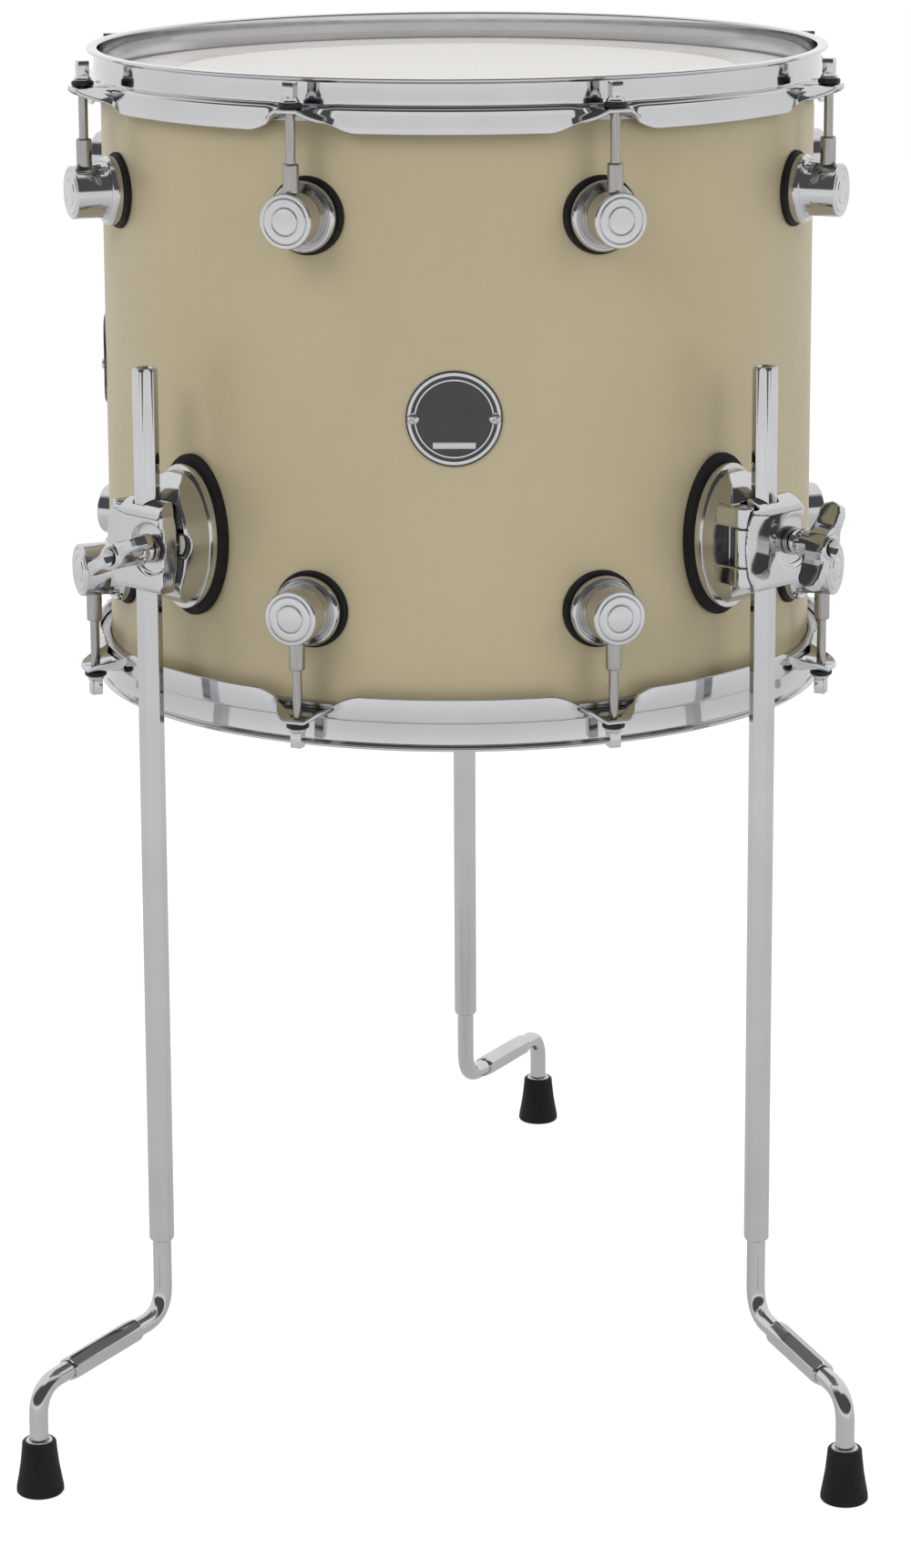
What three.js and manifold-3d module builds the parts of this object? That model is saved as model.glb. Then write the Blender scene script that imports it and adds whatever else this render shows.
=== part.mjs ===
import * as THREE from "three";
import { mergeVertices } from "three/addons/utils/BufferGeometryUtils.js";
import Module from "manifold-3d";

// A floor tom: a wooden shell between two tensioned heads, standing on three sliding legs.
// All lengths are millimetres. The origin is the centre of the batter head's top face, +Z runs up
// the drum's axis, and the badge faces -Y. Azimuths run counter-clockwise from -Y, seen from above.

// Clearances
const seatGap = 0.3;
const boltGap = 0.6;
const cutOverrun = 3;
const mergeDistance = 0.001;

// Shell
const shellDiameter = 406.4;
const shellDepth = 330.2;
const shellWall = 7.5;
const edgeOuterBevel = 2.5;
const ringSegments = 64;

// Heads: film and its metal flesh hoop
const filmThickness = 0.4;
const collarGap = 0.4;
const fleshHoopWidth = 5.2;
const fleshHoopHeight = 8.5;

// Counterhoops
const lugCount = 8;
const hoopSheet = 2.3;
const hoopWallGap = 0.7;
const hoopSkirtGap = 0.5;
const hoopRise = 15.5;
const hoopLedgeDrop = 4.6;
const hoopSkirtDrop = 13.8;
const hoopFilletRise = 1.2;
const beadReach = 3.9;
const beadHeight = 3.5;
const beadCorner = 1.3;
const earDrop = 0.2;
const earOverhang = 6.8;
const earFlatWidth = 13;
const earBlendWidth = 17;

// Tension rods and lugs
const rodStandoff = 19.5;
const rodDiameter = 5.5;
const rodHoleGap = 0.7;
const rodEngagement = 12;
const rodTipRoom = 1.5;
const rodSegments = 8;
const washerDiameter = 12.5;
const washerThickness = 2.6;
const collarDiameter = 9;
const collarThickness = 3;
const keySide = 6.35;
const keyHeight = 8.2;
const lugLevel = 107;
const lugReach = 28.3;
const lugSegments = 12;
const gasketDiameter = 42;
const gasketThickness = 2.6;
const flangeDiameter = 38.4;
const flangeHeight = 1.9;
const turretDiameter = 28.8;
const turretRoot = 11;
const turretBevel = 2.5;
const sleeveDiameter = 8.7;
const sleeveReach = 29.6;

// Badges
const badgeDiameter = 52;
const badgeThickness = 1.6;
const badgeSegments = 32;
const sideBadgeAzimuth = -90;

// Leg brackets. The bracket stands on the leg's axis: "out" is the distance outwards from it.
const legStandoff = 33.6;
const bracketDrop = 74.7;
const padHeight = 91.4;
const padWidth = 55.6;
const padThickness = 2.6;
const padSegments = 14;
const basePlateHeight = 83;
const basePlateWidth = 51.4;
const basePlateThickness = 3;
const stepHeight = 80.6;
const stepWidth = 49.2;
const stepThickness = 4.4;
const blockHeight = 75;
const blockWidth = 47;
const blockFaceHeight = 46;
const blockBrowHeight = 61;
const blockBrowDepth = 4;
const blockShoulderHeight = 72;
const blockShoulderDepth = 13;
const windowSide = 12;
const windowDepth = 8;
const hingeOffset = 18;
const hingeOut = 2;
const knuckleDiameter = 11;
const knuckleOuterHeight = 44;
const knuckleNotchHeight = 21.6;
const pinDiameter = 4;
const pinGap = 0.4;
const hingeSegments = 14;
const gateHeight = 50;
const gateBack = 2.1;
const gateFront = 10.6;
const gateHingeEdge = 24;
const gateBoltEdge = 22;
const gateCorner = 3;
const gateTopSlope = 8;
const dishDiameter = 28;
const dishDepth = 2.6;
const scoopDiameter = 16;
const scoopDepth = 4;
const pocketSideGap = 0.8;
const boltOffset = 13;
const boltDiameter = 7.8;
const boltSegments = 10;
const boltEnd = 33;
const eyeDiameter = 11.6;
const eyeHeight = 11.2;
const eyeInset = 13;
const nutWasherDiameter = 15.2;
const nutWasherThickness = 2.9;
const nutFootDiameter = 16.4;
const nutFootHeight = 2.6;
const nutHubDiameter = 12.6;
const nutLength = 26.6;
const nutBoreGap = 0.7;
const nutSegments = 14;
const wingReach = 25.4;
const wingThickness = 6.8;
const wingRoot = 5.3;

// Legs
const hexAcrossFlats = 12.5;
const hexTopRise = 22;
const hexBottomDrop = 476;
const hexSides = 6;
const hexChamfer = 1.5;
const legRodDiameter = 10.4;
const legRodSides = 10;
const legRodSteps = 26;
const bendRadius = 16;
const armDrop = 520;
const armFall = 5;
const armReach = 113;
const sleeveOnArmLength = 60;
const footDrop = 585;
const footHeight = 30;
const footTopDiameter = 18.8;
const footBottomDiameter = 26;
const footBase = 3;
const footSegments = 16;
const rodInFoot = 24;

// Where the three legs stand, which way each arm points, and how far each wing nut's upper arm
// leans from upright, towards the right seen from outside
const legStations = [
  { name: "front_left", azimuth: -45, armAzimuth: -32.7, wingLean: 61 },
  { name: "front_right", azimuth: 45, armAzimuth: 22.3, wingLean: 26 },
  { name: "back", azimuth: 180, armAzimuth: 154.7, wingLean: 50 },
];

// Derived sizes
const shellRadius = shellDiameter / 2;
const batterLevel = 0;
const shellTop = batterLevel - filmThickness - seatGap;
const middleLevel = shellTop - shellDepth / 2;
const collarInner = shellRadius + collarGap;
const collarOuter = collarInner + filmThickness;
const hoopInner = collarOuter + hoopWallGap;
const hoopOuter = hoopInner + hoopSheet;
const rimOuter = hoopOuter + beadReach;
const fleshOuter = collarOuter + fleshHoopWidth;
const skirtInner = fleshOuter + hoopSkirtGap;
const fleshTop = -hoopLedgeDrop - seatGap;
const rodCircle = shellRadius + rodStandoff;
const earTip = rodCircle + earOverhang;
const legCircle = shellRadius + legStandoff;
const hexCorner = hexAcrossFlats / Math.sqrt(3);
const blockFace = -hexAcrossFlats / 2 - seatGap;
const bracketLevel = middleLevel - bracketDrop;
const dishFloor = gateFront - dishDepth;
const nutWasherTop = dishFloor + seatGap + nutWasherThickness;

const radians = THREE.MathUtils.degToRad;
const quarterTurn = Math.PI / 2;

const wasm = await Module();
wasm.setup();

// A closed three.js geometry as a solid that can be joined and cut.
function solidOf(geometry) {
  const bare = geometry.clone();
  bare.deleteAttribute("normal");
  bare.deleteAttribute("uv");
  const merged = mergeVertices(bare, mergeDistance);
  return new wasm.Manifold(
    new wasm.Mesh({
      numProp: 3,
      vertProperties: new Float32Array(merged.attributes.position.array),
      triVerts: new Uint32Array(merged.index.array),
    }),
  );
}

function geometryOf(solid) {
  const mesh = solid.getMesh();
  const geometry = new THREE.BufferGeometry();
  geometry.setAttribute("position", new THREE.BufferAttribute(mesh.vertProperties, 3));
  geometry.setIndex(new THREE.BufferAttribute(mesh.triVerts, 1));
  const facets = geometry.toNonIndexed();
  facets.computeVertexNormals();
  return facets;
}

// A profile of [radius, height] points turned about the Z axis.
function turned(profile, segments) {
  const points = profile.map(([radius, height]) => new THREE.Vector2(radius, height));
  return new THREE.LatheGeometry(points, segments).rotateX(quarterTurn);
}

// A profile of [radius, distance out] points turned about an axis that points outwards, along -Y.
function turnedOutwards(profile, segments) {
  return turned(profile, segments).rotateX(quarterTurn);
}

// An outline of [x, y] points drawn upwards from one level to another.
function drawnUp(outline, bottom, top) {
  const shape = new THREE.Shape(outline.map(([x, y]) => new THREE.Vector2(x, y)));
  const options = { depth: top - bottom, bevelEnabled: false };
  return new THREE.ExtrudeGeometry(shape, options).translate(0, 0, bottom);
}

// An outline of [out, z] points drawn sideways, over the width given, centred on the leg's axis.
function drawnSideways(outline, width) {
  const shape = new THREE.Shape(outline.map(([out, z]) => new THREE.Vector2(-out, z)));
  const options = { depth: width, bevelEnabled: false };
  const drawn = new THREE.ExtrudeGeometry(shape, options).translate(0, 0, -width / 2);
  return drawn.rotateX(quarterTurn).rotateZ(quarterTurn);
}

// A box between two corners, each [sideways, out, z] from the leg's axis.
function bracketBox(low, high) {
  const [side, out, tall] = low.map((value, i) => high[i] - value);
  const middle = low.map((value, i) => (value + high[i]) / 2);
  return new THREE.BoxGeometry(side, out, tall).translate(middle[0], -middle[1], middle[2]);
}

function cylinder(diameter, bottom, top, segments) {
  const radius = diameter / 2;
  return turned([[0, bottom], [radius, bottom], [radius, top], [0, top]], segments);
}

// Materials
function material(color, roughness, metalness) {
  return new THREE.MeshStandardMaterial({ color, roughness, metalness });
}
const chrome = () => material(0xc9cac9, 0.12, 1);
const brushedSteel = () => material(0xa9a8a4, 0.35, 1);
const lacqueredWood = () => material(0xb2a685, 0.35, 0);
const coatedFilm = () => material(0xe6e7e6, 0.55, 0);
const rubber = () => material(0x26272a, 0.75, 0);
const enamel = () => material(0x1c1c1e, 0.3, 0.2);

function named(name, geometry, finish) {
  const mesh = new THREE.Mesh(geometry, finish);
  mesh.name = name;
  return mesh;
}

// The plywood shell, with a bevelled bearing edge at each end.
function shellGeometry() {
  const inner = shellRadius - shellWall;
  const crest = shellRadius - edgeOuterBevel;
  const bottom = shellTop - shellDepth;
  const innerBevel = crest - inner;
  return turned([
    [crest, bottom],
    [shellRadius, bottom + edgeOuterBevel],
    [shellRadius, shellTop - edgeOuterBevel],
    [crest, shellTop],
    [inner, shellTop - innerBevel],
    [inner, bottom + innerBevel],
    [crest, bottom],
  ], ringSegments);
}

// The head's film runs over the bearing edge and down into the flesh hoop, which it is bonded to.
function headGeometry() {
  const crest = shellRadius - edgeOuterBevel;
  const under = batterLevel - filmThickness;
  const bevel = collarInner - crest;
  return turned([
    [0, under],
    [crest, under],
    [collarInner, under - bevel],
    [collarInner, fleshTop - fleshHoopHeight],
    [fleshOuter, fleshTop - fleshHoopHeight],
    [fleshOuter, fleshTop],
    [collarOuter, fleshTop],
    [collarOuter, batterLevel - bevel],
    [crest + filmThickness / 2, batterLevel],
    [0, batterLevel],
  ], ringSegments);
}

// How far the skirt has turned out into an ear at an angle from the ear's middle: 0 to 1.
function earShare(angleFromEar) {
  const along = Math.abs(angleFromEar) * rodCircle;
  return 1 - THREE.MathUtils.smoothstep(along, earFlatWidth / 2, earFlatWidth / 2 + earBlendWidth);
}

// The hoop's section: bead, wall and ledge are alike all round, and the skirt turns into the ears.
function hoopSection(share) {
  const half = hoopSheet / 2;
  const rootRadius = skirtInner + half;
  const rootLevel = THREE.MathUtils.lerp(half - hoopLedgeDrop, -earDrop - half, share);
  const tipRadius = THREE.MathUtils.lerp(rootRadius, earTip, share);
  const tipLevel = THREE.MathUtils.lerp(-hoopSkirtDrop, -earDrop - half, share);
  const slope = Math.atan2(tipLevel - rootLevel, tipRadius - rootRadius);
  const across = [-half * Math.sin(slope), half * Math.cos(slope)];
  return [
    [hoopInner, -hoopLedgeDrop],
    [skirtInner, -hoopLedgeDrop],
    [tipRadius - across[0], tipLevel - across[1]],
    [tipRadius + across[0], tipLevel + across[1]],
    [rootRadius + across[0], rootLevel + across[1]],
    [hoopOuter, hoopFilletRise],
    [hoopOuter, hoopRise - beadHeight],
    [rimOuter, hoopRise - beadHeight + beadCorner],
    [rimOuter, hoopRise - beadCorner],
    [rimOuter - beadCorner, hoopRise],
    [hoopInner + beadCorner, hoopRise],
    [hoopInner, hoopRise - beadCorner],
  ];
}

// Azimuths round the hoop: an even ring, with closer ones where the skirt turns into an ear.
function hoopAngles() {
  const step = (2 * Math.PI) / ringSegments;
  const pitch = (2 * Math.PI) / lugCount;
  const flat = earFlatWidth / 2 / rodCircle;
  const blend = earBlendWidth / rodCircle;
  const angles = [];
  for (let i = 0; i < ringSegments; i += 1) {
    const fromEar = Math.abs(((i * step) % pitch) - pitch / 2);
    if (fromEar > flat + blend + step / 5) {
      angles.push(i * step);
    }
  }
  const blendShares = [0, 0.25, 0.5, 0.75, 1];
  for (let i = 0; i < lugCount; i += 1) {
    const ear = (i + 0.5) * pitch;
    const extras = blendShares.map((share) => flat + share * blend);
    angles.push(ear, ...extras.map((extra) => ear + extra), ...extras.map((extra) => ear - extra));
  }
  return angles.sort((a, b) => a - b);
}

function hoopGeometry() {
  const pitch = (2 * Math.PI) / lugCount;
  const angles = hoopAngles();
  const sections = angles.map((angle) => {
    const place = ((angle % pitch) + pitch) % pitch;
    return hoopSection(earShare(place - pitch / 2));
  });
  const count = sections[0].length;
  const positions = sections.flatMap((section, i) =>
    section.flatMap(([radius, z]) => [
      radius * Math.sin(angles[i]),
      -radius * Math.cos(angles[i]),
      z,
    ]),
  );
  const index = [];
  sections.forEach((section, i) => {
    const next = (i + 1) % sections.length;
    section.forEach((point, j) => {
      const up = (j + 1) % count;
      const a = i * count + j;
      const b = next * count + j;
      const c = next * count + up;
      const d = i * count + up;
      index.push(a, b, d, c, d, b);
    });
  });
  const geometry = new THREE.BufferGeometry();
  geometry.setAttribute("position", new THREE.Float32BufferAttribute(positions, 3));
  geometry.setIndex(index);
  let solid = solidOf(geometry);
  const holeDiameter = rodDiameter + 2 * rodHoleGap;
  const hole = cylinder(holeDiameter, -hoopSkirtDrop, hoopRise, rodSegments);
  for (let i = 0; i < lugCount; i += 1) {
    const angle = (i + 0.5) * pitch;
    const [x, y] = [rodCircle * Math.sin(angle), -rodCircle * Math.cos(angle)];
    solid = solid.subtract(solidOf(hole.clone().translate(x, y, 0)));
  }
  return geometryOf(solid);
}

// A tension rod with its washer, collar and square key head, standing on its own axis.
function tensionRodGeometry() {
  const seat = seatGap - earDrop;
  const collarBottom = seat + washerThickness;
  const keyBottom = collarBottom + collarThickness;
  const sleeveTop = middleLevel + lugLevel + sleeveReach;
  const tip = sleeveTop - rodEngagement;
  const rod = turned([
    [0, tip],
    [rodDiameter / 2, tip],
    [rodDiameter / 2, seat],
    [washerDiameter / 2, seat],
    [washerDiameter / 2, collarBottom],
    [collarDiameter / 2, collarBottom],
    [collarDiameter / 2, keyBottom],
    [0, keyBottom],
  ], rodSegments);
  const key = new THREE.BoxGeometry(keySide, keySide, keyHeight + collarThickness / 2);
  key.translate(0, 0, keyBottom + keyHeight / 2 - collarThickness / 4);
  return geometryOf(solidOf(rod).add(solidOf(key)));
}

// A lug: rubber gasket, flange and turret stand out from the shell, and the threaded sleeve that
// takes the tension rod comes out of the turret. The origin is on the shell's axis, at lug height.
function lugGeometry() {
  const back = -cutOverrun;
  const casting = turnedOutwards([
    [0, back],
    [gasketDiameter / 2, back],
    [gasketDiameter / 2, gasketThickness - seatGap],
    [flangeDiameter / 2, gasketThickness + flangeHeight],
    [turretDiameter / 2, turretRoot],
    [turretDiameter / 2, lugReach - turretBevel],
    [turretDiameter / 2 - turretBevel, lugReach],
    [0, lugReach],
  ], lugSegments).translate(0, -shellRadius, 0);
  const sleeve = cylinder(sleeveDiameter, 0, sleeveReach, rodSegments);
  const boreDiameter = rodDiameter + 2 * rodHoleGap;
  const boreBottom = sleeveReach - rodEngagement - rodTipRoom;
  const bore = cylinder(boreDiameter, boreBottom, sleeveReach + cutOverrun, rodSegments);
  const seat = cylinder(2 * (shellRadius + seatGap), -gasketDiameter, gasketDiameter, ringSegments);
  const solid = solidOf(casting)
    .add(solidOf(sleeve.translate(0, -rodCircle, 0)))
    .subtract(solidOf(bore.translate(0, -rodCircle, 0)))
    .subtract(solidOf(seat));
  return geometryOf(solid);
}

// A round badge, bent to lie on the shell. The origin is on the shell's axis, at badge height.
function badgeGeometry() {
  const disc = turnedOutwards([
    [0, shellRadius - cutOverrun],
    [badgeDiameter / 2, shellRadius - cutOverrun],
    [badgeDiameter / 2, shellRadius + badgeThickness + cutOverrun],
    [0, shellRadius + badgeThickness + cutOverrun],
  ], badgeSegments);
  const inner = shellRadius + seatGap;
  const outer = inner + badgeThickness;
  const sleeve = turned([
    [inner, -badgeDiameter],
    [outer, -badgeDiameter],
    [outer, badgeDiameter],
    [inner, badgeDiameter],
    [inner, -badgeDiameter],
  ], ringSegments);
  return geometryOf(solidOf(disc).intersect(solidOf(sleeve)));
}

// An oval prism that stands out from the shell, between two distances out from the leg's axis.
function ovalPrism(width, height, low, high) {
  const shape = new THREE.Shape().absellipse(0, 0, width / 2, height / 2, 0, 2 * Math.PI);
  const options = { depth: high - low, bevelEnabled: false, curveSegments: padSegments };
  return new THREE.ExtrudeGeometry(shape, options).rotateX(quarterTurn).translate(0, -low, 0);
}

// A round groove that runs sideways from the bolt, sunk into a face that looks outwards.
function boltScoop(face) {
  const centre = face - scoopDepth + scoopDiameter / 2;
  const groove = cylinder(scoopDiameter, 0, blockWidth, hingeSegments).rotateY(quarterTurn);
  return solidOf(groove.translate(boltOffset, -centre, 0));
}

// The bracket's base: a pad on the shell, a stepped oval plate and an arched block whose flat face
// meets the leg, with two hinge knuckles and their pin over a window on one side, and the pocket
// of the bolt's eye on the other.
function bracketBaseGeometry() {
  const padLow = -legStandoff - cutOverrun;
  const padTop = padThickness - legStandoff;
  const plateTop = padTop + basePlateThickness;
  const stepTop = plateTop + stepThickness;
  const arch = drawnSideways([
    [padLow, -blockHeight / 2],
    [stepTop, -blockHeight / 2],
    [blockFace - blockShoulderDepth, -blockShoulderHeight / 2],
    [blockFace - blockBrowDepth, -blockBrowHeight / 2],
    [blockFace, -blockFaceHeight / 2],
    [blockFace, blockFaceHeight / 2],
    [blockFace - blockBrowDepth, blockBrowHeight / 2],
    [blockFace - blockShoulderDepth, blockShoulderHeight / 2],
    [stepTop, blockHeight / 2],
    [padLow, blockHeight / 2],
  ], blockWidth);
  const block = solidOf(arch)
    .intersect(solidOf(ovalPrism(blockWidth, blockHeight, padLow, cutOverrun)));
  const knuckleLow = knuckleNotchHeight / 2;
  const knuckleHigh = knuckleOuterHeight / 2;
  const webLow = -hingeOffset - knuckleDiameter / 2;
  const webHigh = -hingeOffset + knuckleDiameter / 2;
  let solid = block
    .add(solidOf(ovalPrism(padWidth, padHeight, padLow, padTop)))
    .add(solidOf(ovalPrism(basePlateWidth, basePlateHeight, padLow, plateTop)))
    .add(solidOf(ovalPrism(stepWidth, stepHeight, padLow, stepTop)));
  const window = bracketBox(
    [-blockWidth, blockFace - windowDepth, -knuckleLow],
    [-windowSide, cutOverrun, knuckleLow],
  );
  solid = solid.subtract(solidOf(window));
  for (const [low, high] of [[knuckleLow, knuckleHigh], [-knuckleHigh, -knuckleLow]]) {
    const knuckle = cylinder(knuckleDiameter, low, high, hingeSegments);
    const webBack = blockFace - blockShoulderDepth;
    const web = bracketBox([webLow, webBack, low], [webHigh, hingeOut, high]);
    solid = solid
      .add(solidOf(knuckle.translate(-hingeOffset, -hingeOut, 0)))
      .add(solidOf(web));
  }
  const pin = cylinder(pinDiameter, -knuckleHigh, knuckleHigh, hingeSegments);
  const pocketHalf = eyeHeight / 2 + seatGap;
  const pocketBack = -eyeInset - eyeDiameter / 2 - seatGap;
  const pocketReach = eyeDiameter / 2 + seatGap;
  const pocket = bracketBox(
    [boltOffset - pocketReach, pocketBack, -pocketHalf],
    [boltOffset + pocketReach, cutOverrun, pocketHalf],
  );
  const seat = cylinder(2 * (shellRadius + seatGap), -padHeight, padHeight, ringSegments);
  solid = solid
    .add(solidOf(pin.translate(-hingeOffset, -hingeOut, 0)))
    .subtract(solidOf(pocket))
    .subtract(boltScoop(blockFace))
    .subtract(solidOf(seat.translate(0, legCircle, 0)));
  return geometryOf(solid);
}

// The gate swings on the hinge pin and presses the leg against the block. The bolt passes through
// its slot, and the washer sits in a round dish about it.
function bracketGateGeometry() {
  const clear = seatGap + knuckleDiameter / 2;
  const halfPocket = hexCorner + pocketSideGap;
  const pocketFlat = hexCorner / 2 + pocketSideGap;
  const outline = [
    [clear - hingeOffset, gateBack],
    [clear - hingeOffset, -hingeOut - clear],
    [-gateHingeEdge, -hingeOut - clear],
    [-gateHingeEdge, -gateFront + gateCorner / 2],
    [gateCorner - gateHingeEdge, -gateFront],
    [gateBoltEdge - gateCorner, -gateFront],
    [gateBoltEdge, -gateFront + gateCorner],
    [gateBoltEdge, gateBack],
    [halfPocket, gateBack],
    [halfPocket, -seatGap],
    [pocketFlat, blockFace],
    [-pocketFlat, blockFace],
    [-halfPocket, -seatGap],
    [-halfPocket, gateBack],
  ];
  const half = gateHeight / 2;
  const side = drawnSideways([
    [-gateBack - cutOverrun, -half],
    [gateFront - gateCorner, -half],
    [gateFront + seatGap, gateCorner - half],
    [gateFront + seatGap, half - gateTopSlope],
    [gateFront - gateTopSlope, half],
    [-gateBack - cutOverrun, half],
  ], 2 * gateHingeEdge + cutOverrun);
  const barrelHalf = knuckleNotchHeight / 2 - seatGap;
  const barrel = cylinder(knuckleDiameter, -barrelHalf, barrelHalf, hingeSegments);
  const web = bracketBox(
    [-hingeOffset, -gateBack, -barrelHalf],
    [clear - hingeOffset + seatGap, gateFront - gateCorner, barrelHalf],
  );
  const boreDiameter = pinDiameter + 2 * pinGap;
  const bore = cylinder(boreDiameter, -gateHeight, gateHeight, hingeSegments);
  const slotHalf = boltDiameter / 2 + boltGap;
  const slotReach = boltDiameter / 2 + 3 * boltGap;
  const slot = bracketBox(
    [boltOffset - slotReach, -gateBack - cutOverrun, -slotHalf],
    [boltOffset + slotReach, gateFront + cutOverrun, slotHalf],
  );
  const dish = turnedOutwards([
    [0, dishFloor],
    [dishDiameter / 2, dishFloor],
    [dishDiameter / 2, gateFront + cutOverrun],
    [0, gateFront + cutOverrun],
  ], padSegments).translate(boltOffset, 0, 0);
  const solid = solidOf(drawnUp(outline, -half, half))
    .intersect(solidOf(side))
    .add(solidOf(barrel.translate(-hingeOffset, -hingeOut, 0)))
    .add(solidOf(web))
    .subtract(solidOf(bore.translate(-hingeOffset, -hingeOut, 0)))
    .subtract(solidOf(slot))
    .subtract(solidOf(dish))
    .subtract(boltScoop(gateFront));
  return geometryOf(solid);
}

// The swing bolt: a threaded shank whose eye sits in the base's pocket.
function swingBoltGeometry() {
  const shank = turnedOutwards([
    [0, -eyeInset],
    [boltDiameter / 2, -eyeInset],
    [boltDiameter / 2, boltEnd],
    [0, boltEnd],
  ], boltSegments);
  const eye = cylinder(eyeDiameter, -eyeHeight / 2, eyeHeight / 2, boltSegments);
  return geometryOf(solidOf(shank).add(solidOf(eye.translate(0, eyeInset, 0))));
}

function nutWasherGeometry() {
  const bore = boltDiameter / 2 + nutBoreGap;
  const low = dishFloor + seatGap;
  const high = nutWasherTop;
  return turnedOutwards([
    [bore, low],
    [nutWasherDiameter / 2, low],
    [nutWasherDiameter / 2, high],
    [bore, high],
    [bore, low],
  ], nutSegments);
}

// The wing nut: a hub with a through bore, and two arms swept outwards.
function wingNutGeometry() {
  const bore = boltDiameter / 2 + nutBoreGap;
  const low = nutWasherTop + seatGap;
  const high = low + nutLength;
  const hub = turnedOutwards([
    [bore, low],
    [nutFootDiameter / 2, low],
    [nutFootDiameter / 2, low + nutFootHeight],
    [nutHubDiameter / 2, low + 2 * nutFootHeight],
    [nutHubDiameter / 2, high],
    [bore, high],
    [bore, low],
  ], nutSegments);
  const armOutlineShares = [
    [0, 0.32],
    [0.5, 0.44],
    [0.75, 0.43],
    [0.92, 0.53],
    [1, 0.72],
    [0.93, 0.93],
    [0.6, 1],
    [0.3, 0.98],
    [0, 0.94],
  ];
  let solid = solidOf(hub);
  for (const sideSign of [1, -1]) {
    const outline = armOutlineShares.map(([reachShare, lengthShare]) => [
      low + lengthShare * nutLength,
      sideSign * (wingRoot + reachShare * (wingReach - wingRoot)),
    ]);
    if (sideSign < 0) {
      outline.reverse();
    }
    solid = solid.add(solidOf(drawnSideways(outline.reverse(), wingThickness)));
  }
  return geometryOf(solid);
}

// A straight run with filleted corners through the points given.
function filletedPath(corners, radius) {
  const path = new THREE.CurvePath();
  let start = corners[0];
  for (let i = 1; i < corners.length - 1; i += 1) {
    const corner = corners[i];
    const before = corner.clone().lerp(corners[i - 1], radius / corner.distanceTo(corners[i - 1]));
    const after = corner.clone().lerp(corners[i + 1], radius / corner.distanceTo(corners[i + 1]));
    path.add(new THREE.LineCurve3(start, before));
    path.add(new THREE.QuadraticBezierCurve3(before, corner, after));
    start = after;
  }
  path.add(new THREE.LineCurve3(start, corners[corners.length - 1]));
  return path;
}

function hexBar(low, high) {
  return turned([
    [0, low],
    [hexCorner - hexChamfer, low],
    [hexCorner, low + hexChamfer],
    [hexCorner, high - hexChamfer],
    [hexCorner - hexChamfer, high],
    [0, high],
  ], hexSides);
}

// A leg about its own axis, with its arm pointing along -Y: a hexagonal upper part, a round rod
// with two bends, and a hexagonal sleeve on the arm between them.
function legGeometry(hexTurn) {
  const level = (drop) => middleLevel - drop;
  const armStart = new THREE.Vector3(0, 0, level(armDrop));
  const armEnd = new THREE.Vector3(0, -armReach, level(armDrop + armFall));
  const rodEnd = level(footDrop) + footHeight - rodInFoot;
  const corners = [
    new THREE.Vector3(0, 0, level(hexBottomDrop) + hexChamfer),
    armStart,
    armEnd,
    new THREE.Vector3(0, -armReach, rodEnd),
  ];
  const ring = new THREE.Shape();
  ring.absarc(0, 0, legRodDiameter / 2, 0, 2 * Math.PI);
  const rod = new THREE.ExtrudeGeometry(ring, {
    steps: legRodSteps,
    extrudePath: filletedPath(corners, bendRadius),
    curveSegments: legRodSides / 2,
  });
  const hex = hexBar(level(hexBottomDrop), middleLevel + hexTopRise).rotateZ(hexTurn);
  const tilt = Math.atan2(armFall, armReach);
  const sleeve = hexBar(-sleeveOnArmLength / 2, sleeveOnArmLength / 2)
    .rotateX(quarterTurn + tilt)
    .translate(0, -armReach / 2, level(armDrop + armFall / 2));
  return geometryOf(solidOf(hex).add(solidOf(rod)).add(solidOf(sleeve)));
}

// The rubber foot, on its own axis, with a blind bore for the leg's rod.
function footGeometry() {
  const bottom = middleLevel - footDrop;
  const top = bottom + footHeight;
  const bore = legRodDiameter / 2 + seatGap;
  return turned([
    [0, bottom],
    [footBottomDiameter / 2, bottom],
    [footBottomDiameter / 2, bottom + footBase],
    [footTopDiameter / 2, top - footBase],
    [footTopDiameter / 2, top],
    [bore, top],
    [bore, top - rodInFoot - seatGap],
    [0, top - rodInFoot - seatGap],
  ], footSegments);
}

// One head with its hoop, lugs and tension rods. The azimuths are those of the finished drum.
function tensionedHead(side, flipped) {
  const group = new THREE.Group();
  group.add(named(`${side}_head`, headGeometry(), coatedFilm()));
  group.add(named(`${side}_hoop`, hoopGeometry(), chrome()));
  const lug = lugGeometry();
  const rod = tensionRodGeometry();
  for (let i = 0; i < lugCount; i += 1) {
    const azimuth = ((i + 0.5) * 2 * Math.PI) / lugCount;
    const station = new THREE.Group();
    station.rotation.z = flipped ? Math.PI - azimuth : azimuth;
    const lugMesh = named(`${side}_lug_${i + 1}`, lug, chrome());
    lugMesh.position.z = middleLevel + lugLevel;
    const rodMesh = named(`${side}_tension_rod_${i + 1}`, rod, brushedSteel());
    rodMesh.position.y = -rodCircle;
    station.add(lugMesh, rodMesh);
    group.add(station);
  }
  if (flipped) {
    group.rotation.x = Math.PI;
    group.position.z = 2 * middleLevel;
  }
  return group;
}

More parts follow.
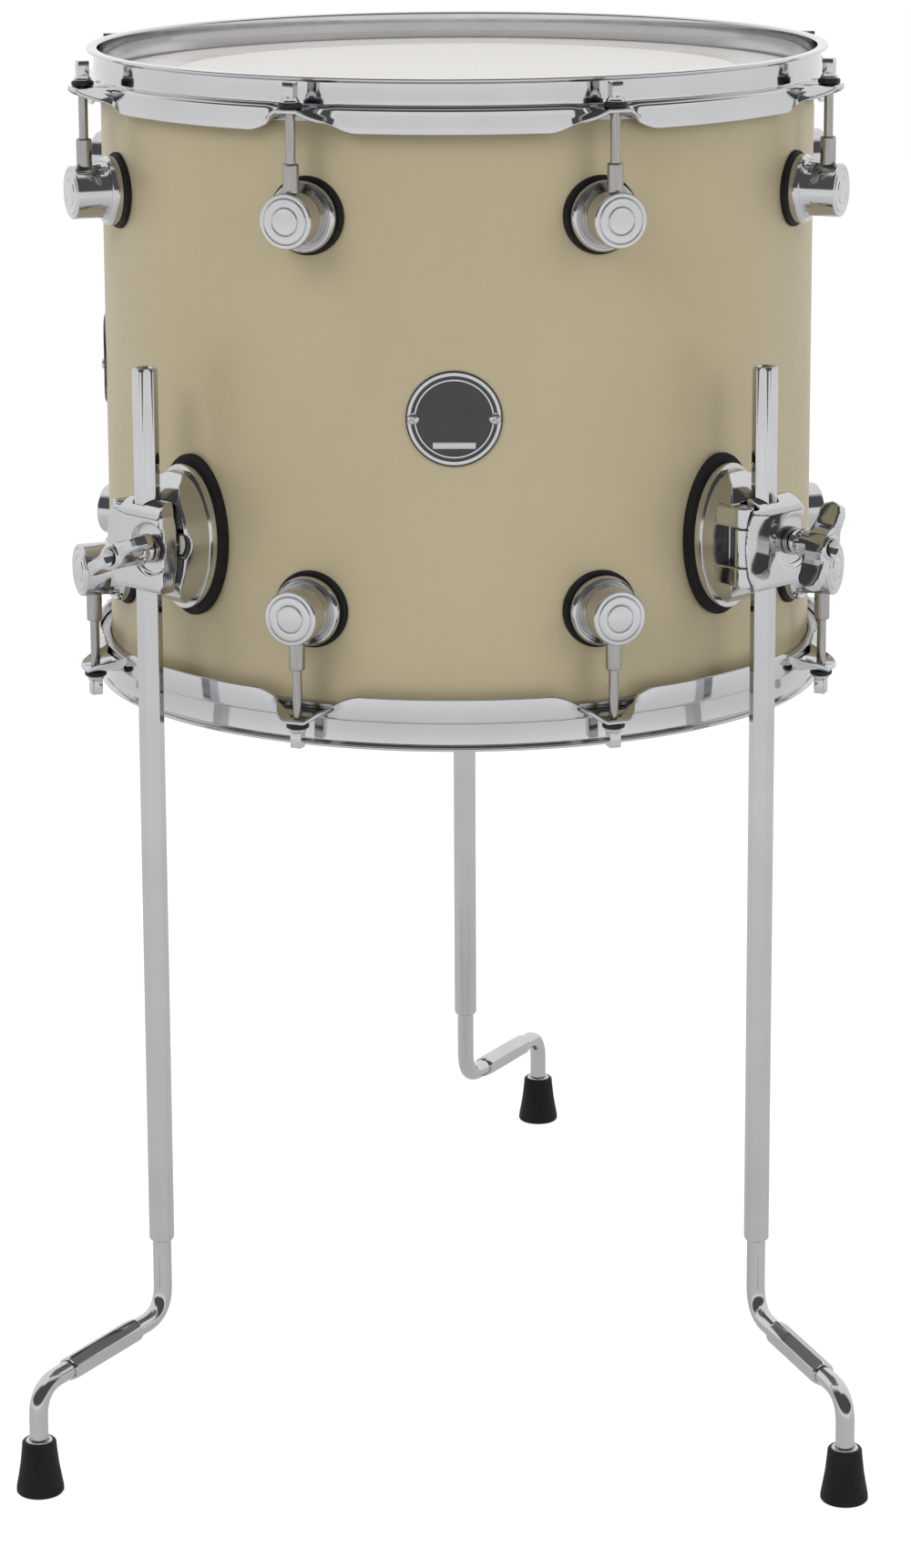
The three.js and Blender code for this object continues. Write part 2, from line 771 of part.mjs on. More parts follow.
// A leg with its bracket. The group stands on the leg's axis and turns with its azimuth.
function legStation({ name, azimuth, armAzimuth, wingLean }) {
  const station = new THREE.Group();
  station.rotation.z = radians(azimuth);
  const onAxis = new THREE.Group();
  onAxis.position.y = -legCircle;
  station.add(onAxis);

  const bracket = new THREE.Group();
  bracket.position.z = bracketLevel;
  bracket.add(named(`${name}_bracket_base`, bracketBaseGeometry(), chrome()));
  bracket.add(named(`${name}_bracket_gate`, bracketGateGeometry(), chrome()));
  const fastening = new THREE.Group();
  fastening.position.x = boltOffset;
  fastening.add(named(`${name}_swing_bolt`, swingBoltGeometry(), brushedSteel()));
  fastening.add(named(`${name}_nut_washer`, nutWasherGeometry(), brushedSteel()));
  const wingNut = named(`${name}_wing_nut`, wingNutGeometry(), chrome());
  wingNut.rotation.y = radians(wingLean);
  fastening.add(wingNut);
  bracket.add(fastening);

  const armTurn = radians(armAzimuth - azimuth);
  const leg = named(`${name}_leg`, legGeometry(Math.PI / hexSides - armTurn), chrome());
  leg.rotation.z = armTurn;
  const foot = named(`${name}_foot`, footGeometry(), rubber());
  foot.position.set(armReach * Math.sin(armTurn), -armReach * Math.cos(armTurn), 0);
  onAxis.add(bracket, leg, foot);
  return station;
}

const floorTom = new THREE.Group();
floorTom.add(named("shell", shellGeometry(), lacqueredWood()));
floorTom.add(tensionedHead("batter", false));
floorTom.add(tensionedHead("resonant", true));

const frontBadge = named("badge", badgeGeometry(), enamel());
frontBadge.position.z = middleLevel;
const sideBadge = named("side_badge", badgeGeometry(), enamel());
sideBadge.position.z = middleLevel;
sideBadge.rotation.z = radians(sideBadgeAzimuth);
floorTom.add(frontBadge, sideBadge);

for (const place of legStations) {
  floorTom.add(legStation(place));
}

export default floorTom;
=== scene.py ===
import math

import bmesh
import bpy
from mathutils import Matrix, Vector


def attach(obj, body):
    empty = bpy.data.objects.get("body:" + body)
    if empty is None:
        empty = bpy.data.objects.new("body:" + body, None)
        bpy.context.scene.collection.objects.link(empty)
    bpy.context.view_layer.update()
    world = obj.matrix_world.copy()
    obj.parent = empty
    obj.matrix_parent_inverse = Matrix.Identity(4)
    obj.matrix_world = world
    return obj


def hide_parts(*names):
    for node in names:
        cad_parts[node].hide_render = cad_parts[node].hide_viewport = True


# A floor tom: a lacquered shell between two tensioned heads, on three sliding legs. Shapes are
# drawn in millimetres in the frame of the solids and scaled to metres. A station is a frame
# turned about the drum's axis: its -Y points outwards and its +X to the right seen from outside.

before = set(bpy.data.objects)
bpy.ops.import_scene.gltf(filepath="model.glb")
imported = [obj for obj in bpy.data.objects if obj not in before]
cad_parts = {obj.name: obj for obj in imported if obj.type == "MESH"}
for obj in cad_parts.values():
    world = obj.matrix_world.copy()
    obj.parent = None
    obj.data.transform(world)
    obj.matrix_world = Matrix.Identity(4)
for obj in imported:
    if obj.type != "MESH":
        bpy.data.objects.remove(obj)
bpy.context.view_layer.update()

MM = 0.001
TAU = 2 * math.pi
TINY = 1e-6
MERGE = 1e-7
WIDE_SEGMENTS = 256
CORNER_SHARE = 0.49  # of an edge, the most that a rounded corner takes

# Shell and heads. A head lies at height 0, and the shell's top just below it.
SHELL_R = 203.2
SHELL_TOP = -0.7
SHELL_DEPTH = 330.2
SHELL_WALL = 7.5
CREST_INSET = 2.5
CREST_R = SHELL_R - CREST_INSET
LACQUER_DEPTH = 0.6
MIDDLE = SHELL_TOP - SHELL_DEPTH / 2
FILM = 0.4
FILM_SKIRT_R = 204.0
DISC_R = 163.0
FLESH_TOP = -4.9
FLESH_OUT = 209.2
FLESH_HEIGHT = 3.4
# Counterhoops and their ears
HOOP_IN = 204.7
HOOP_SHEET = 2.3
HOOP_RISE = 15.5
LEDGE = -4.6
SKIRT = -13.8
SKIRT_IN = 209.7
EAR_TIP = 229.5
EAR_FLAT = 6.4
EAR_FLANK = 26.0
EAR_SAG = 1.2
SHOULDER = -0.2
WALL_FOOT = 0.6
WALL_TOP = 12.9
RIM_LIP = 3.9
EAR_DROP = 0.2
EAR_TURNED_SHARE = 0.6
EAR_RISE_POWER = 1.6
# Lugs and rods
LUG_COUNT = 8
LUG_LEVEL = 107
SEAT_GAP = 0.05
LUG_REACH = 28.25
LUG_FLANGE_R = 19.2
GASKET_R = 21.2
TURRET_R = 14.9
SLEEVE_R = 4.35
SLEEVE_BORE = 3.3
SLEEVE_TOP = 29.6
ROD_R = 222.7
SHANK_R = 2.6
KEY_HALF = 3.175
# Badges
BADGE_R = 26.0
BADGE_FIELD = 1.0  # how far its field stands out of the shell
BADGE_METAL = ((20.5, 21.4), (23.1, 25.0))
SCREW_AT = 21.8
BAR_HALF, BAR_AT, BAR_HEIGHT = 11.5, -12.2, 4.0
# Brackets, measured from their leg's axis
LEG_R = 236.8
BRACKET_LEVEL = MIDDLE - 74.7
HEX_FLATS = 12.5
BLOCK_FACE = -HEX_FLATS / 2 - 0.3
HINGE_X, HINGE_OUT = -18.0, 2.0
KNUCKLE = 11.0
GATE_KNUCKLE = 10.5
BOLT_X = 13.0
SCOOP_R = 8.0
SCOOP_LIFT = 4.0
GATE_FACE = 10.6
BASE_CLEAR = 5.8
WINDOW_HALF = 10.8
KNUCKLE_END = 22
VOXEL = 0.55
NUT_VOXEL = 0.4
# Legs
HEX_TOP = 22
HEX_FOOT = 476
ARM_DROP, ARM_FALL = 520, 5
ARM_REACH = 113
FOOT_DROP = 585
LEG_ROD_R = 5.2
HEX_REACH = 7.4  # beyond the hexagon's corners, so that a profile of this radius cuts nothing
HEX_CORNER = 0.9
ARM_BEND = 17
SLEEVE_HALF = 30
# Each leg's azimuth, its arm's azimuth and its wing nut's lean from upright, in degrees
STATIONS = {
    "front_left": (-45.0, -32.7, 62.0),
    "front_right": (45.0, 22.3, 26.0),
    "back": (180.0, 154.7, 50.0),
}


# Outlines and meshes
def rounded(points, radius, steps=4, closed=False, radii=None):
    """An outline with each corner rounded. radii gives single corners their own radius."""
    count = len(points)
    made = []
    for i, point in enumerate(points):
        here = Vector(point)
        size = (radii or {}).get(i, radius)
        if (not closed and i in (0, count - 1)) or size <= 0:
            made.append(tuple(here))
            continue
        before = Vector(points[i - 1]) - here
        after = Vector(points[(i + 1) % count]) - here
        if min(before.length, after.length) < TINY:
            made.append(tuple(here))
            continue
        turn = math.pi - before.angle(after)
        room = CORNER_SHARE * min(before.length, after.length)
        cut = min(size * math.tan(turn / 2), room)
        start, end = here + before.normalized() * cut, here + after.normalized() * cut
        for k in range(steps + 1):
            t = k / steps
            made.append(tuple(start * (1 - t) ** 2 + here * 2 * t * (1 - t) + end * t * t))
    return made


def make_mesh(name, verts, faces, angle=32, scale=MM):
    """A mesh in metres, facing outwards, smooth except over edges sharper than the angle."""
    bm = bmesh.new()
    made = [bm.verts.new(Vector(v) * scale) for v in verts]
    for face in faces:
        bm.faces.new([made[i] for i in face])
    bmesh.ops.remove_doubles(bm, verts=bm.verts, dist=MERGE)
    return finish_bmesh(bm, name, angle)


def finish_bmesh(bm, name, angle):
    """The bmesh as a mesh, its normals outwards and its sharp edges marked."""
    bmesh.ops.recalc_face_normals(bm, faces=bm.faces)
    limit = math.radians(angle)
    for edge in bm.edges:
        edge.smooth = len(edge.link_faces) == 2 and edge.calc_face_angle(0) < limit
    for face in bm.faces:
        face.smooth = True
    mesh = bpy.data.meshes.new(name)
    bm.to_mesh(mesh)
    bm.free()
    return mesh


def ring_faces(count, rings, capped=True):
    """The faces between rings of points, and over the first and the last of them."""
    faces = []
    for j in range(rings - 1):
        for i in range(count):
            n = (i + 1) % count
            faces.append([j * count + i, j * count + n, (j + 1) * count + n, (j + 1) * count + i])
    if capped:
        faces.append(list(range(count)))
        faces.append([(rings - 1) * count + i for i in range(count)])
    return faces


def lathe(name, profile, segments=48, angle=32, closed=False):
    """A profile of (radius, height) turned about Z."""
    verts, faces, rings = [], [], []
    for radius, height in profile:
        if radius < TINY:
            rings.append([len(verts)] * segments)
            verts.append((0, 0, height))
            continue
        first = len(verts)
        for k in range(segments):
            a = TAU * k / segments
            verts.append((radius * math.sin(a), -radius * math.cos(a), height))
        rings.append([first + k for k in range(segments)])
    pairs = list(zip(rings, rings[1:]))
    if closed:
        pairs.append((rings[-1], rings[0]))
    for low, high in pairs:
        for k in range(segments):
            n = (k + 1) % segments
            faces.append([low[k], low[n], high[n], high[k]])
    faces = [list(dict.fromkeys(face)) for face in faces]
    return make_mesh(name, verts, faces, angle)


def turned_ring(name, outline, radius, steps, segments, angle=40):
    """A closed outline of (radius, height), its corners rounded, turned about Z."""
    return lathe(name, rounded(outline, radius, steps, closed=True), segments, angle, closed=True)


def thread(first_r, second_r, start, pitch, turns):
    """A thread's profile: two radii in turn, half a pitch apart."""
    profile = []
    for k in range(turns):
        z = start + k * pitch
        profile += [(first_r, z), (second_r, z + pitch / 2)]
    return profile


def prism(name, outline, low, high, angle=32, edge=0.0, steps=2):
    """An outline of (x, y) drawn from low to high, its two rims rounded by the edge size."""
    if edge:
        rise = [(edge * (1 - math.cos(t)), edge * (1 - math.sin(t)))
                for t in [math.pi / 2 * k / steps for k in range(steps + 1)]]
        levels = [(low + lift, inset) for lift, inset in rise]
        levels += [(high - lift, inset) for lift, inset in reversed(rise)]
    else:
        levels = [(low, 0), (high, 0)]
    count = len(outline)
    area = sum(outline[i - 1][0] * outline[i][1] - outline[i][0] * outline[i - 1][1]
               for i in range(count))
    side = 1 if area > 0 else -1
    normals = []
    for i in range(count):
        before = Vector(outline[i]) - Vector(outline[i - 1])
        after = Vector(outline[(i + 1) % count]) - Vector(outline[i])
        along = before.normalized() + after.normalized()
        along = along.normalized() if along.length > TINY else after.normalized()
        normals.append(Vector((-along.y, along.x)) * side)
    verts = []
    for level, inset in levels:
        for point, normal in zip(outline, normals):
            p = Vector(point) + normal * inset
            verts.append((p.x, p.y, level))
    return make_mesh(name, verts, ring_faces(count, len(levels)), angle)


def sweep(name, outline, path, angle):
    """An outline carried along a path that starts upright, without turning about it."""
    side = Vector((1, 0, 0))
    verts = []
    for i, point in enumerate(path):
        tangent = (path[min(i + 1, len(path) - 1)] - path[max(i - 1, 0)]).normalized()
        side = (side - tangent * side.dot(tangent)).normalized()
        up = tangent.cross(side)
        verts += [point + side * x + up * y for x, y in outline]
    return make_mesh(name, verts, ring_faces(len(outline), len(path)), angle)


def in_metres(matrix):
    """A copy of a matrix whose lengths are millimetres, with metres in their place."""
    matrix = matrix.copy()
    matrix.translation *= MM
    return matrix


def moved(mesh, matrix):
    """A copy of the mesh under a matrix whose lengths are millimetres."""
    copy = mesh.copy()
    copy.transform(in_metres(matrix))
    return copy


def link_object(name, data):
    obj = bpy.data.objects.new(name, data)
    bpy.context.scene.collection.objects.link(obj)
    return obj


def joined(name, meshes):
    """One mesh of several, their bodies side by side."""
    bm = bmesh.new()
    for mesh in meshes:
        bm.from_mesh(mesh)
    mesh = bpy.data.meshes.new(name)
    bm.to_mesh(mesh)
    bm.free()
    return mesh


def evaluated(mesh, name, modify):
    """The mesh after the modifiers that modify(object) puts on it."""
    obj = link_object(name, mesh)
    modify(obj)
    bpy.context.view_layer.update()
    graph = bpy.context.evaluated_depsgraph_get()
    made = bpy.data.meshes.new_from_object(obj.evaluated_get(graph), depsgraph=graph)
    made.name = name
    bpy.data.objects.remove(obj)
    return made


def boolean(mesh, cutters, operation="DIFFERENCE", angle=32):
    """The mesh cut by, joined with or met with each cutter mesh in turn."""
    for cutter_mesh in cutters:
        cutter = link_object("cutter", cutter_mesh)

        def modify(obj):
            cut = obj.modifiers.new("cut", "BOOLEAN")
            cut.operation = operation
            cut.solver = "EXACT"
            cut.object = cutter

        mesh = evaluated(mesh, mesh.name, modify)
        bpy.data.objects.remove(cutter)
    bm = bmesh.new()
    bm.from_mesh(mesh)
    return finish_bmesh(bm, mesh.name, angle)


def cast(name, mesh, voxel):
    """A mesh of overlapping closed bodies melted into one skin with soft corners."""

    def modify(obj):
        melt = obj.modifiers.new("melt", "REMESH")
        melt.mode = "VOXEL"
        melt.voxel_size = voxel * MM
        melt.use_smooth_shade = True
        soften = obj.modifiers.new("soften", "SMOOTH")
        soften.factor = 0.5
        soften.iterations = 4

    return evaluated(mesh, name, modify)


def place(name, mesh, material, body, matrix, stands_for=()):
    """One piece of the drum, riding on a body. A mesh that has its finishes keeps them."""
    obj = link_object(name, mesh)
    obj.matrix_world = in_metres(matrix)
    if material and not mesh.materials:
        mesh.materials.append(material)
    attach(obj, body)
    if stands_for:
        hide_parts(*stands_for)


def two_finished(mesh, outer, inner, is_inner):
    """The mesh with the inner finish, which is bare wood, badge metal or painted shade, on the
    faces whose centre the test takes.
    """
    mesh.materials.append(outer)
    mesh.materials.append(inner)
    for polygon in mesh.polygons:
        if is_inner(*(polygon.center / MM)):
            polygon.material_index = 1
    return mesh


def shift(x=0.0, y=0.0, z=0.0):
    return Matrix.Translation((x, y, z))


def turn(degrees, axis="Z"):
    return Matrix.Rotation(math.radians(degrees), 4, axis)


UPSIDE_DOWN = shift(z=2 * MIDDLE) @ turn(180, "X")
OUTWARDS = turn(90, "X")  # carries +Z, a lathe's axis, to -Y, a station's way out


def box_mesh(name, low, high, edge=0.0):
    """A box between two corners of (sideways, out, up), seen from a station's axis."""
    (x0, o0, z0), (x1, o1, z1) = low, high
    outline = [(x0, -o1), (x1, -o1), (x1, -o0), (x0, -o0)]
    if edge:
        outline = rounded(outline, edge, 3, closed=True)
    return prism(name, outline, z0, z1, edge=edge)


# Materials
class Nodes:
    """A material's node tree, with short calls for the nodes the finishes share."""

    def __init__(self, name):
        self.material = bpy.data.materials.new(name)
        self.material.use_nodes = True
        self.tree = self.material.node_tree
        self.shader = self.tree.nodes["Principled BSDF"]
        self.coordinates = self.tree.nodes.new("ShaderNodeTexCoord").outputs["Object"]

    def set(self, **values):
        for key, value in values.items():
            self.shader.inputs[key.replace("_", " ")].default_value = value
        return self

    def link(self, source, target):
        self.tree.links.new(source, target)

    def mapped(self, stretch=(1, 1, 1)):
        node = self.tree.nodes.new("ShaderNodeMapping")
        node.inputs["Scale"].default_value = stretch
        self.link(self.coordinates, node.inputs["Vector"])
        return node.outputs["Vector"]

    def noise(self, scale, detail=3, stretch=(1, 1, 1), roughness=0.5):
        node = self.tree.nodes.new("ShaderNodeTexNoise")
        node.inputs["Scale"].default_value = scale
        node.inputs["Detail"].default_value = detail
        node.inputs["Roughness"].default_value = roughness
        self.link(self.mapped(stretch), node.inputs["Vector"])
        return node.outputs["Fac"]

    def cells(self, scale, stretch=(1, 1, 1)):
        node = self.tree.nodes.new("ShaderNodeTexVoronoi")
        node.inputs["Scale"].default_value = scale
        self.link(self.mapped(stretch), node.inputs["Vector"])
        return node.outputs["Distance"]

    def between(self, value, low, high, start=0.3, end=0.7):
        node = self.tree.nodes.new("ShaderNodeMapRange")
        node.inputs["From Min"].default_value = start
        node.inputs["From Max"].default_value = end
        node.inputs["To Min"].default_value = low
        node.inputs["To Max"].default_value = high
        self.link(value, node.inputs["Value"])
        return node.outputs["Result"]

    def colours(self, value, low, high, start=0.3, end=0.7):
        node = self.tree.nodes.new("ShaderNodeValToRGB")
        ramp = node.color_ramp.elements
        ramp[0].position, ramp[0].color = start, (*low, 1)
        ramp[1].position, ramp[1].color = end, (*high, 1)
        self.link(value, node.inputs["Fac"])
        return node.outputs["Color"]

    def painted_crease_shade(self, colour, dark, reach, start, end):
        """The colour with painted shade: darker in creases that are narrower than the reach."""
        crease = self.tree.nodes.new("ShaderNodeAmbientOcclusion")
        crease.samples = 6
        crease.inputs["Distance"].default_value = reach
        mix = self.tree.nodes.new("ShaderNodeMix")
        mix.data_type = "RGBA"
        self.link(self.between(crease.outputs["AO"], 0, 1, start, end), mix.inputs["Factor"])
        mix.inputs["A"].default_value = (*dark, 1)
        self.link(colour, mix.inputs["B"])
        return mix.outputs["Result"]

    def bump(self, height, strength, distance):
        node = self.tree.nodes.new("ShaderNodeBump")
        node.inputs["Strength"].default_value = strength
        node.inputs["Distance"].default_value = distance
        self.link(height, node.inputs["Height"])
        previous = self.shader.inputs["Normal"].links
        if previous:
            self.link(previous[0].from_socket, node.inputs["Normal"])
        self.link(node.outputs["Normal"], self.shader.inputs["Normal"])

    def colour(self, socket):
        self.link(socket, self.shader.inputs["Base Color"])

    def roughness(self, socket):
        self.link(socket, self.shader.inputs["Roughness"])


def chrome(name, low, high):
    """Bright plating with a faint smear and painted shade in its creases, its roughness between
    low and high.
    """
    n = Nodes(name).set(Metallic=1.0)
    smear = n.colours(n.noise(22, 4), (0.57, 0.575, 0.585), (0.62, 0.62, 0.63))
    # Painted shade: the plating's colour goes near black in creases narrower than 5 mm.
    n.colour(n.painted_crease_shade(smear, (0.05, 0.05, 0.055), 0.005, 0.1, 0.5))
    n.roughness(n.between(n.noise(60, 5), low, high))
    n.bump(n.noise(900, 2), 0.02, 0.0001)
    return n.material


def brushed(name, tone):
    """Steel with streaks along its height."""
    n = Nodes(name).set(Metallic=1.0, Anisotropic=0.4)
    streaks = n.noise(900, 4, (1, 1, 0.06))
    low = tuple(c * 0.8 for c in tone)
    n.colour(n.colours(streaks, low, tone))
    n.roughness(n.between(n.noise(500, 3, (1, 1, 0.1)), 0.16, 0.28))
    n.bump(streaks, 0.12, 0.0001)
    return n.material


def rubber():
    n = Nodes("black_rubber").set(Specular_IOR_Level=0.28)
    n.colour(n.colours(n.noise(70, 5), (0.006, 0.006, 0.0066), (0.0114, 0.0114, 0.0123)))
    n.roughness(n.between(n.noise(160, 4), 0.5, 0.72))
    n.bump(n.noise(1400, 3), 0.12, 0.0002)
    return n.material


def lacquer():
    n = Nodes("champagne_lacquer").set(
        Metallic=0.35, Specular_IOR_Level=0.25, Coat_Weight=0.08, Coat_Roughness=0.32)
    cloud = n.noise(9, 3, (1, 1, 0.5))
    n.colour(n.colours(cloud, (0.54, 0.465, 0.30), (0.58, 0.505, 0.335), 0.25, 0.75))
    n.roughness(n.between(n.noise(240, 4), 0.42, 0.50))
    n.bump(n.cells(2600), 0.05, 0.0001)
    n.bump(n.noise(40, 3, (1, 1, 0.35)), 0.03, 0.0006)
    return n.material


def plywood():
    n = Nodes("maple_ply").set(Roughness=0.55)
    grain = n.noise(60, 6, (1, 1, 0.05))
    n.colour(n.colours(grain, (0.50, 0.32, 0.17), (0.66, 0.47, 0.28)))
    n.bump(grain, 0.2, 0.0003)
    return n.material


def coated_film():
    n = Nodes("white_coating").set(Roughness=0.62)
    speck = n.noise(420, 4)
    n.colour(n.colours(speck, (0.55, 0.535, 0.512), (0.60, 0.585, 0.56)))
    n.bump(n.cells(1500), 0.25, 0.00012)
    return n.material


def clear_film():
    n = Nodes("clear_film").set(Transmission_Weight=0.05, IOR=1.5, Specular_IOR_Level=0.2)
    haze = n.noise(14, 3)
    n.colour(n.colours(haze, (0.60, 0.575, 0.54), (0.67, 0.645, 0.61)))
    n.roughness(n.between(n.noise(90, 3), 0.10, 0.18))
    n.bump(n.noise(200, 2), 0.02, 0.0002)
    return n.material


def black_enamel():
    n = Nodes("black_enamel").set(Coat_Weight=0.6, Coat_Roughness=0.08)
    n.colour(n.colours(n.noise(60, 4), (0.006, 0.006, 0.007), (0.012, 0.012, 0.013)))
    n.roughness(n.between(n.noise(220, 4), 0.16, 0.28))
    n.bump(n.noise(700, 2), 0.03, 0.0001)
    return n.material


def nylon():
    n = Nodes("black_nylon").set(Specular_IOR_Level=0.3)
    n.colour(n.colours(n.noise(120, 4), (0.008, 0.008, 0.009), (0.018, 0.018, 0.019)))
    n.roughness(n.between(n.noise(300, 4), 0.32, 0.48))
    n.bump(n.noise(900, 2), 0.06, 0.0001)
    return n.material


# Painted shade: a dark, half-metallic finish for the faces deep in the brackets' window, pocket,
# scoops and slot, where shade falls.
def painted_recess_shade():
    n = Nodes("painted_recess_shade").set(Metallic=0.5)
    n.colour(n.colours(n.noise(200, 4), (0.10, 0.10, 0.102), (0.20, 0.20, 0.205)))
    n.roughness(n.between(n.noise(400, 4), 0.3, 0.5))
    n.bump(n.noise(900, 3), 0.25, 0.0002)
    return n.material


CHROME = chrome("chrome", 0.04, 0.11)
CAST_CHROME = chrome("cast_chrome", 0.05, 0.13)
SATIN = chrome("satin_chrome", 0.16, 0.26)
STEEL = brushed("brushed_steel", (0.44, 0.43, 0.415))
DULL_STEEL = brushed("flesh_hoop_steel", (0.42, 0.42, 0.41))
RUBBER = rubber()
LACQUER = lacquer()
PLY = plywood()
COATING = coated_film()
CLEAR = clear_film()
ENAMEL = black_enamel()
NYLON = nylon()
RECESS_SHADE = painted_recess_shade()


# Shell and heads
def add_shell():
    """The shell, lacquered outside, its inner wall and its two bearing edges bare."""
    bottom = SHELL_TOP - SHELL_DEPTH
    inner = SHELL_R - SHELL_WALL
    slope = CREST_R - inner
    profile = [
        (CREST_R, bottom), (SHELL_R, bottom + CREST_INSET), (SHELL_R, SHELL_TOP - CREST_INSET),
        (CREST_R, SHELL_TOP), (inner, SHELL_TOP - slope), (inner, bottom + slope),
    ]
    smooth = rounded(profile, 0.8, 3, closed=True, radii={1: 1.5, 2: 1.5})
    mesh = lathe("shell_skin", smooth, WIDE_SEGMENTS, 40, closed=True)
    two_finished(mesh, LACQUER, PLY, lambda x, y, z: math.hypot(x, y) < SHELL_R - LACQUER_DEPTH)
    place("shell_skin", mesh, None, "drum", Matrix(), ("shell",))


def add_head(side, matrix):
    """A head: the clear ring over the bearing edge, the coated disc and the steel channel."""
    flat_end, hem = CREST_R - 6, FLESH_TOP - 2
    within = FILM_SKIRT_R - FILM
    film = [(flat_end, 0), (CREST_R + 0.4, 0), (FILM_SKIRT_R, -3.1), (FILM_SKIRT_R, hem)]
    under = [(within, hem), (within, -3.2), (CREST_R, -FILM), (flat_end, -FILM)]
    outer = rounded([(DISC_R + 0.1, 0), *film], 2.5, 5)
    inner = rounded([*under, (DISC_R + 0.1, -FILM)], 2.5, 5)
    ring = lathe(f"{side}_head_ring", outer + inner, WIDE_SEGMENTS, 40, closed=True)
    place(f"{side}_head_ring", ring, CLEAR, "drum", matrix, (f"{side}_head",))
    disc = lathe(f"{side}_head_disc", rounded([
        (0, -FILM), (DISC_R, -FILM), (DISC_R, -0.08), (DISC_R - 0.6, 0), (0, 0),
    ], 0.3, 3), WIDE_SEGMENTS, 60)
    place(f"{side}_head_disc", disc, COATING, "drum", matrix)
    low, notch = FLESH_TOP - FLESH_HEIGHT, FLESH_TOP - 1.6
    channel = turned_ring(f"{side}_flesh_hoop", [
        (204.2, FLESH_TOP), (FLESH_OUT, FLESH_TOP), (FLESH_OUT, low),
        (within, low), (within, notch), (204.2, notch),
    ], 0.5, 3, 192)
    place(f"{side}_flesh_hoop", channel, DULL_STEEL, "drum", matrix)


# Counterhoops
def ear_shares(angle):
    """How far the skirt's edge has risen, and turned out, into an ear: 1 and 1 at its middle."""
    pitch = TAU / LUG_COUNT
    along = abs((angle % pitch) - pitch / 2) * ROD_R
    run = max(min((along - EAR_FLAT) / EAR_FLANK, 1.0), 0.0)
    turned = min(run / EAR_TURNED_SHARE, 1.0)
    return (1 - run) ** EAR_RISE_POWER, (1 + math.cos(math.pi * turned)) / 2


def hoop_section(rise, flare):
    """The hoop's section at one azimuth, all with the same number of points."""
    half = HOOP_SHEET / 2
    ear_level = -EAR_DROP - half
    root = Vector((SKIRT_IN + half, LEDGE + half + (ear_level - LEDGE - half) * flare))
    tip = Vector((root.x + (EAR_TIP - root.x) * flare, SKIRT + (ear_level - SKIRT) * rise))
    along = (tip - root).normalized()
    across = Vector((-along.y, along.x)) * half
    heel = root.lerp(tip, 0.4) - across * EAR_SAG * 4 * flare * (1 - flare)
    wall = HOOP_IN + HOOP_SHEET
    shoulder = Vector((SKIRT_IN + HOOP_SHEET, SHOULDER)).lerp(root + across, flare)
    points = [
        (HOOP_IN, LEDGE),
        (SKIRT_IN, LEDGE),
        tuple(heel - across),
        tuple(tip - across),
        tuple(tip + across),
        tuple(heel + across),
        tuple(shoulder),
        (wall + 1.9 - flare, shoulder.y + 0.55),
        (wall, WALL_FOOT),
        (wall, WALL_TOP),
        (wall + 2.4, WALL_TOP + 0.3),
        (wall + RIM_LIP, WALL_TOP + 0.9),
        (wall + RIM_LIP, HOOP_RISE),
        (HOOP_IN, HOOP_RISE),
    ]
    radii = {0: 1.2, 1: 0.8, 2: 1.5, 3: 1.0, 4: 0.6, 5: 3.0, 6: 2.2, 7: 0.9, 8: 0.8, 9: 0.7,
             10: 0.8, 11: 0.8, 12: 1.0, 13: 1.2}
    return rounded(points, 1.0, 4, closed=True, radii=radii)


def hoop_mesh():
    """A counterhoop: its section carried once round the drum."""
    steps = 720
    verts, faces = [], []
    for k in range(steps):
        a = TAU * k / steps
        section = hoop_section(*ear_shares(a))
        verts += [(r * math.sin(a), -r * math.cos(a), z) for r, z in section]
    count = len(section)
    for k in range(steps):
        n = (k + 1) % steps
        for i in range(count):
            j = (i + 1) % count
            faces.append([k * count + i, n * count + i, n * count + j, k * count + j])
    return make_mesh("counterhoop", verts, faces, 50)


# Lugs and rods
def on_shell(mesh, centre=0.0):
    """Lays the back of a piece, which lies inside the shell's radius, on the shell."""
    radius = (SHELL_R + SEAT_GAP) * MM
    for v in mesh.vertices:
        x, y = v.co.x, v.co.y - centre * MM
        if y > -radius and math.hypot(x, y) < radius + TINY:
            v.co.y = -math.sqrt(max(radius ** 2 - x ** 2, 0)) + centre * MM
    return mesh


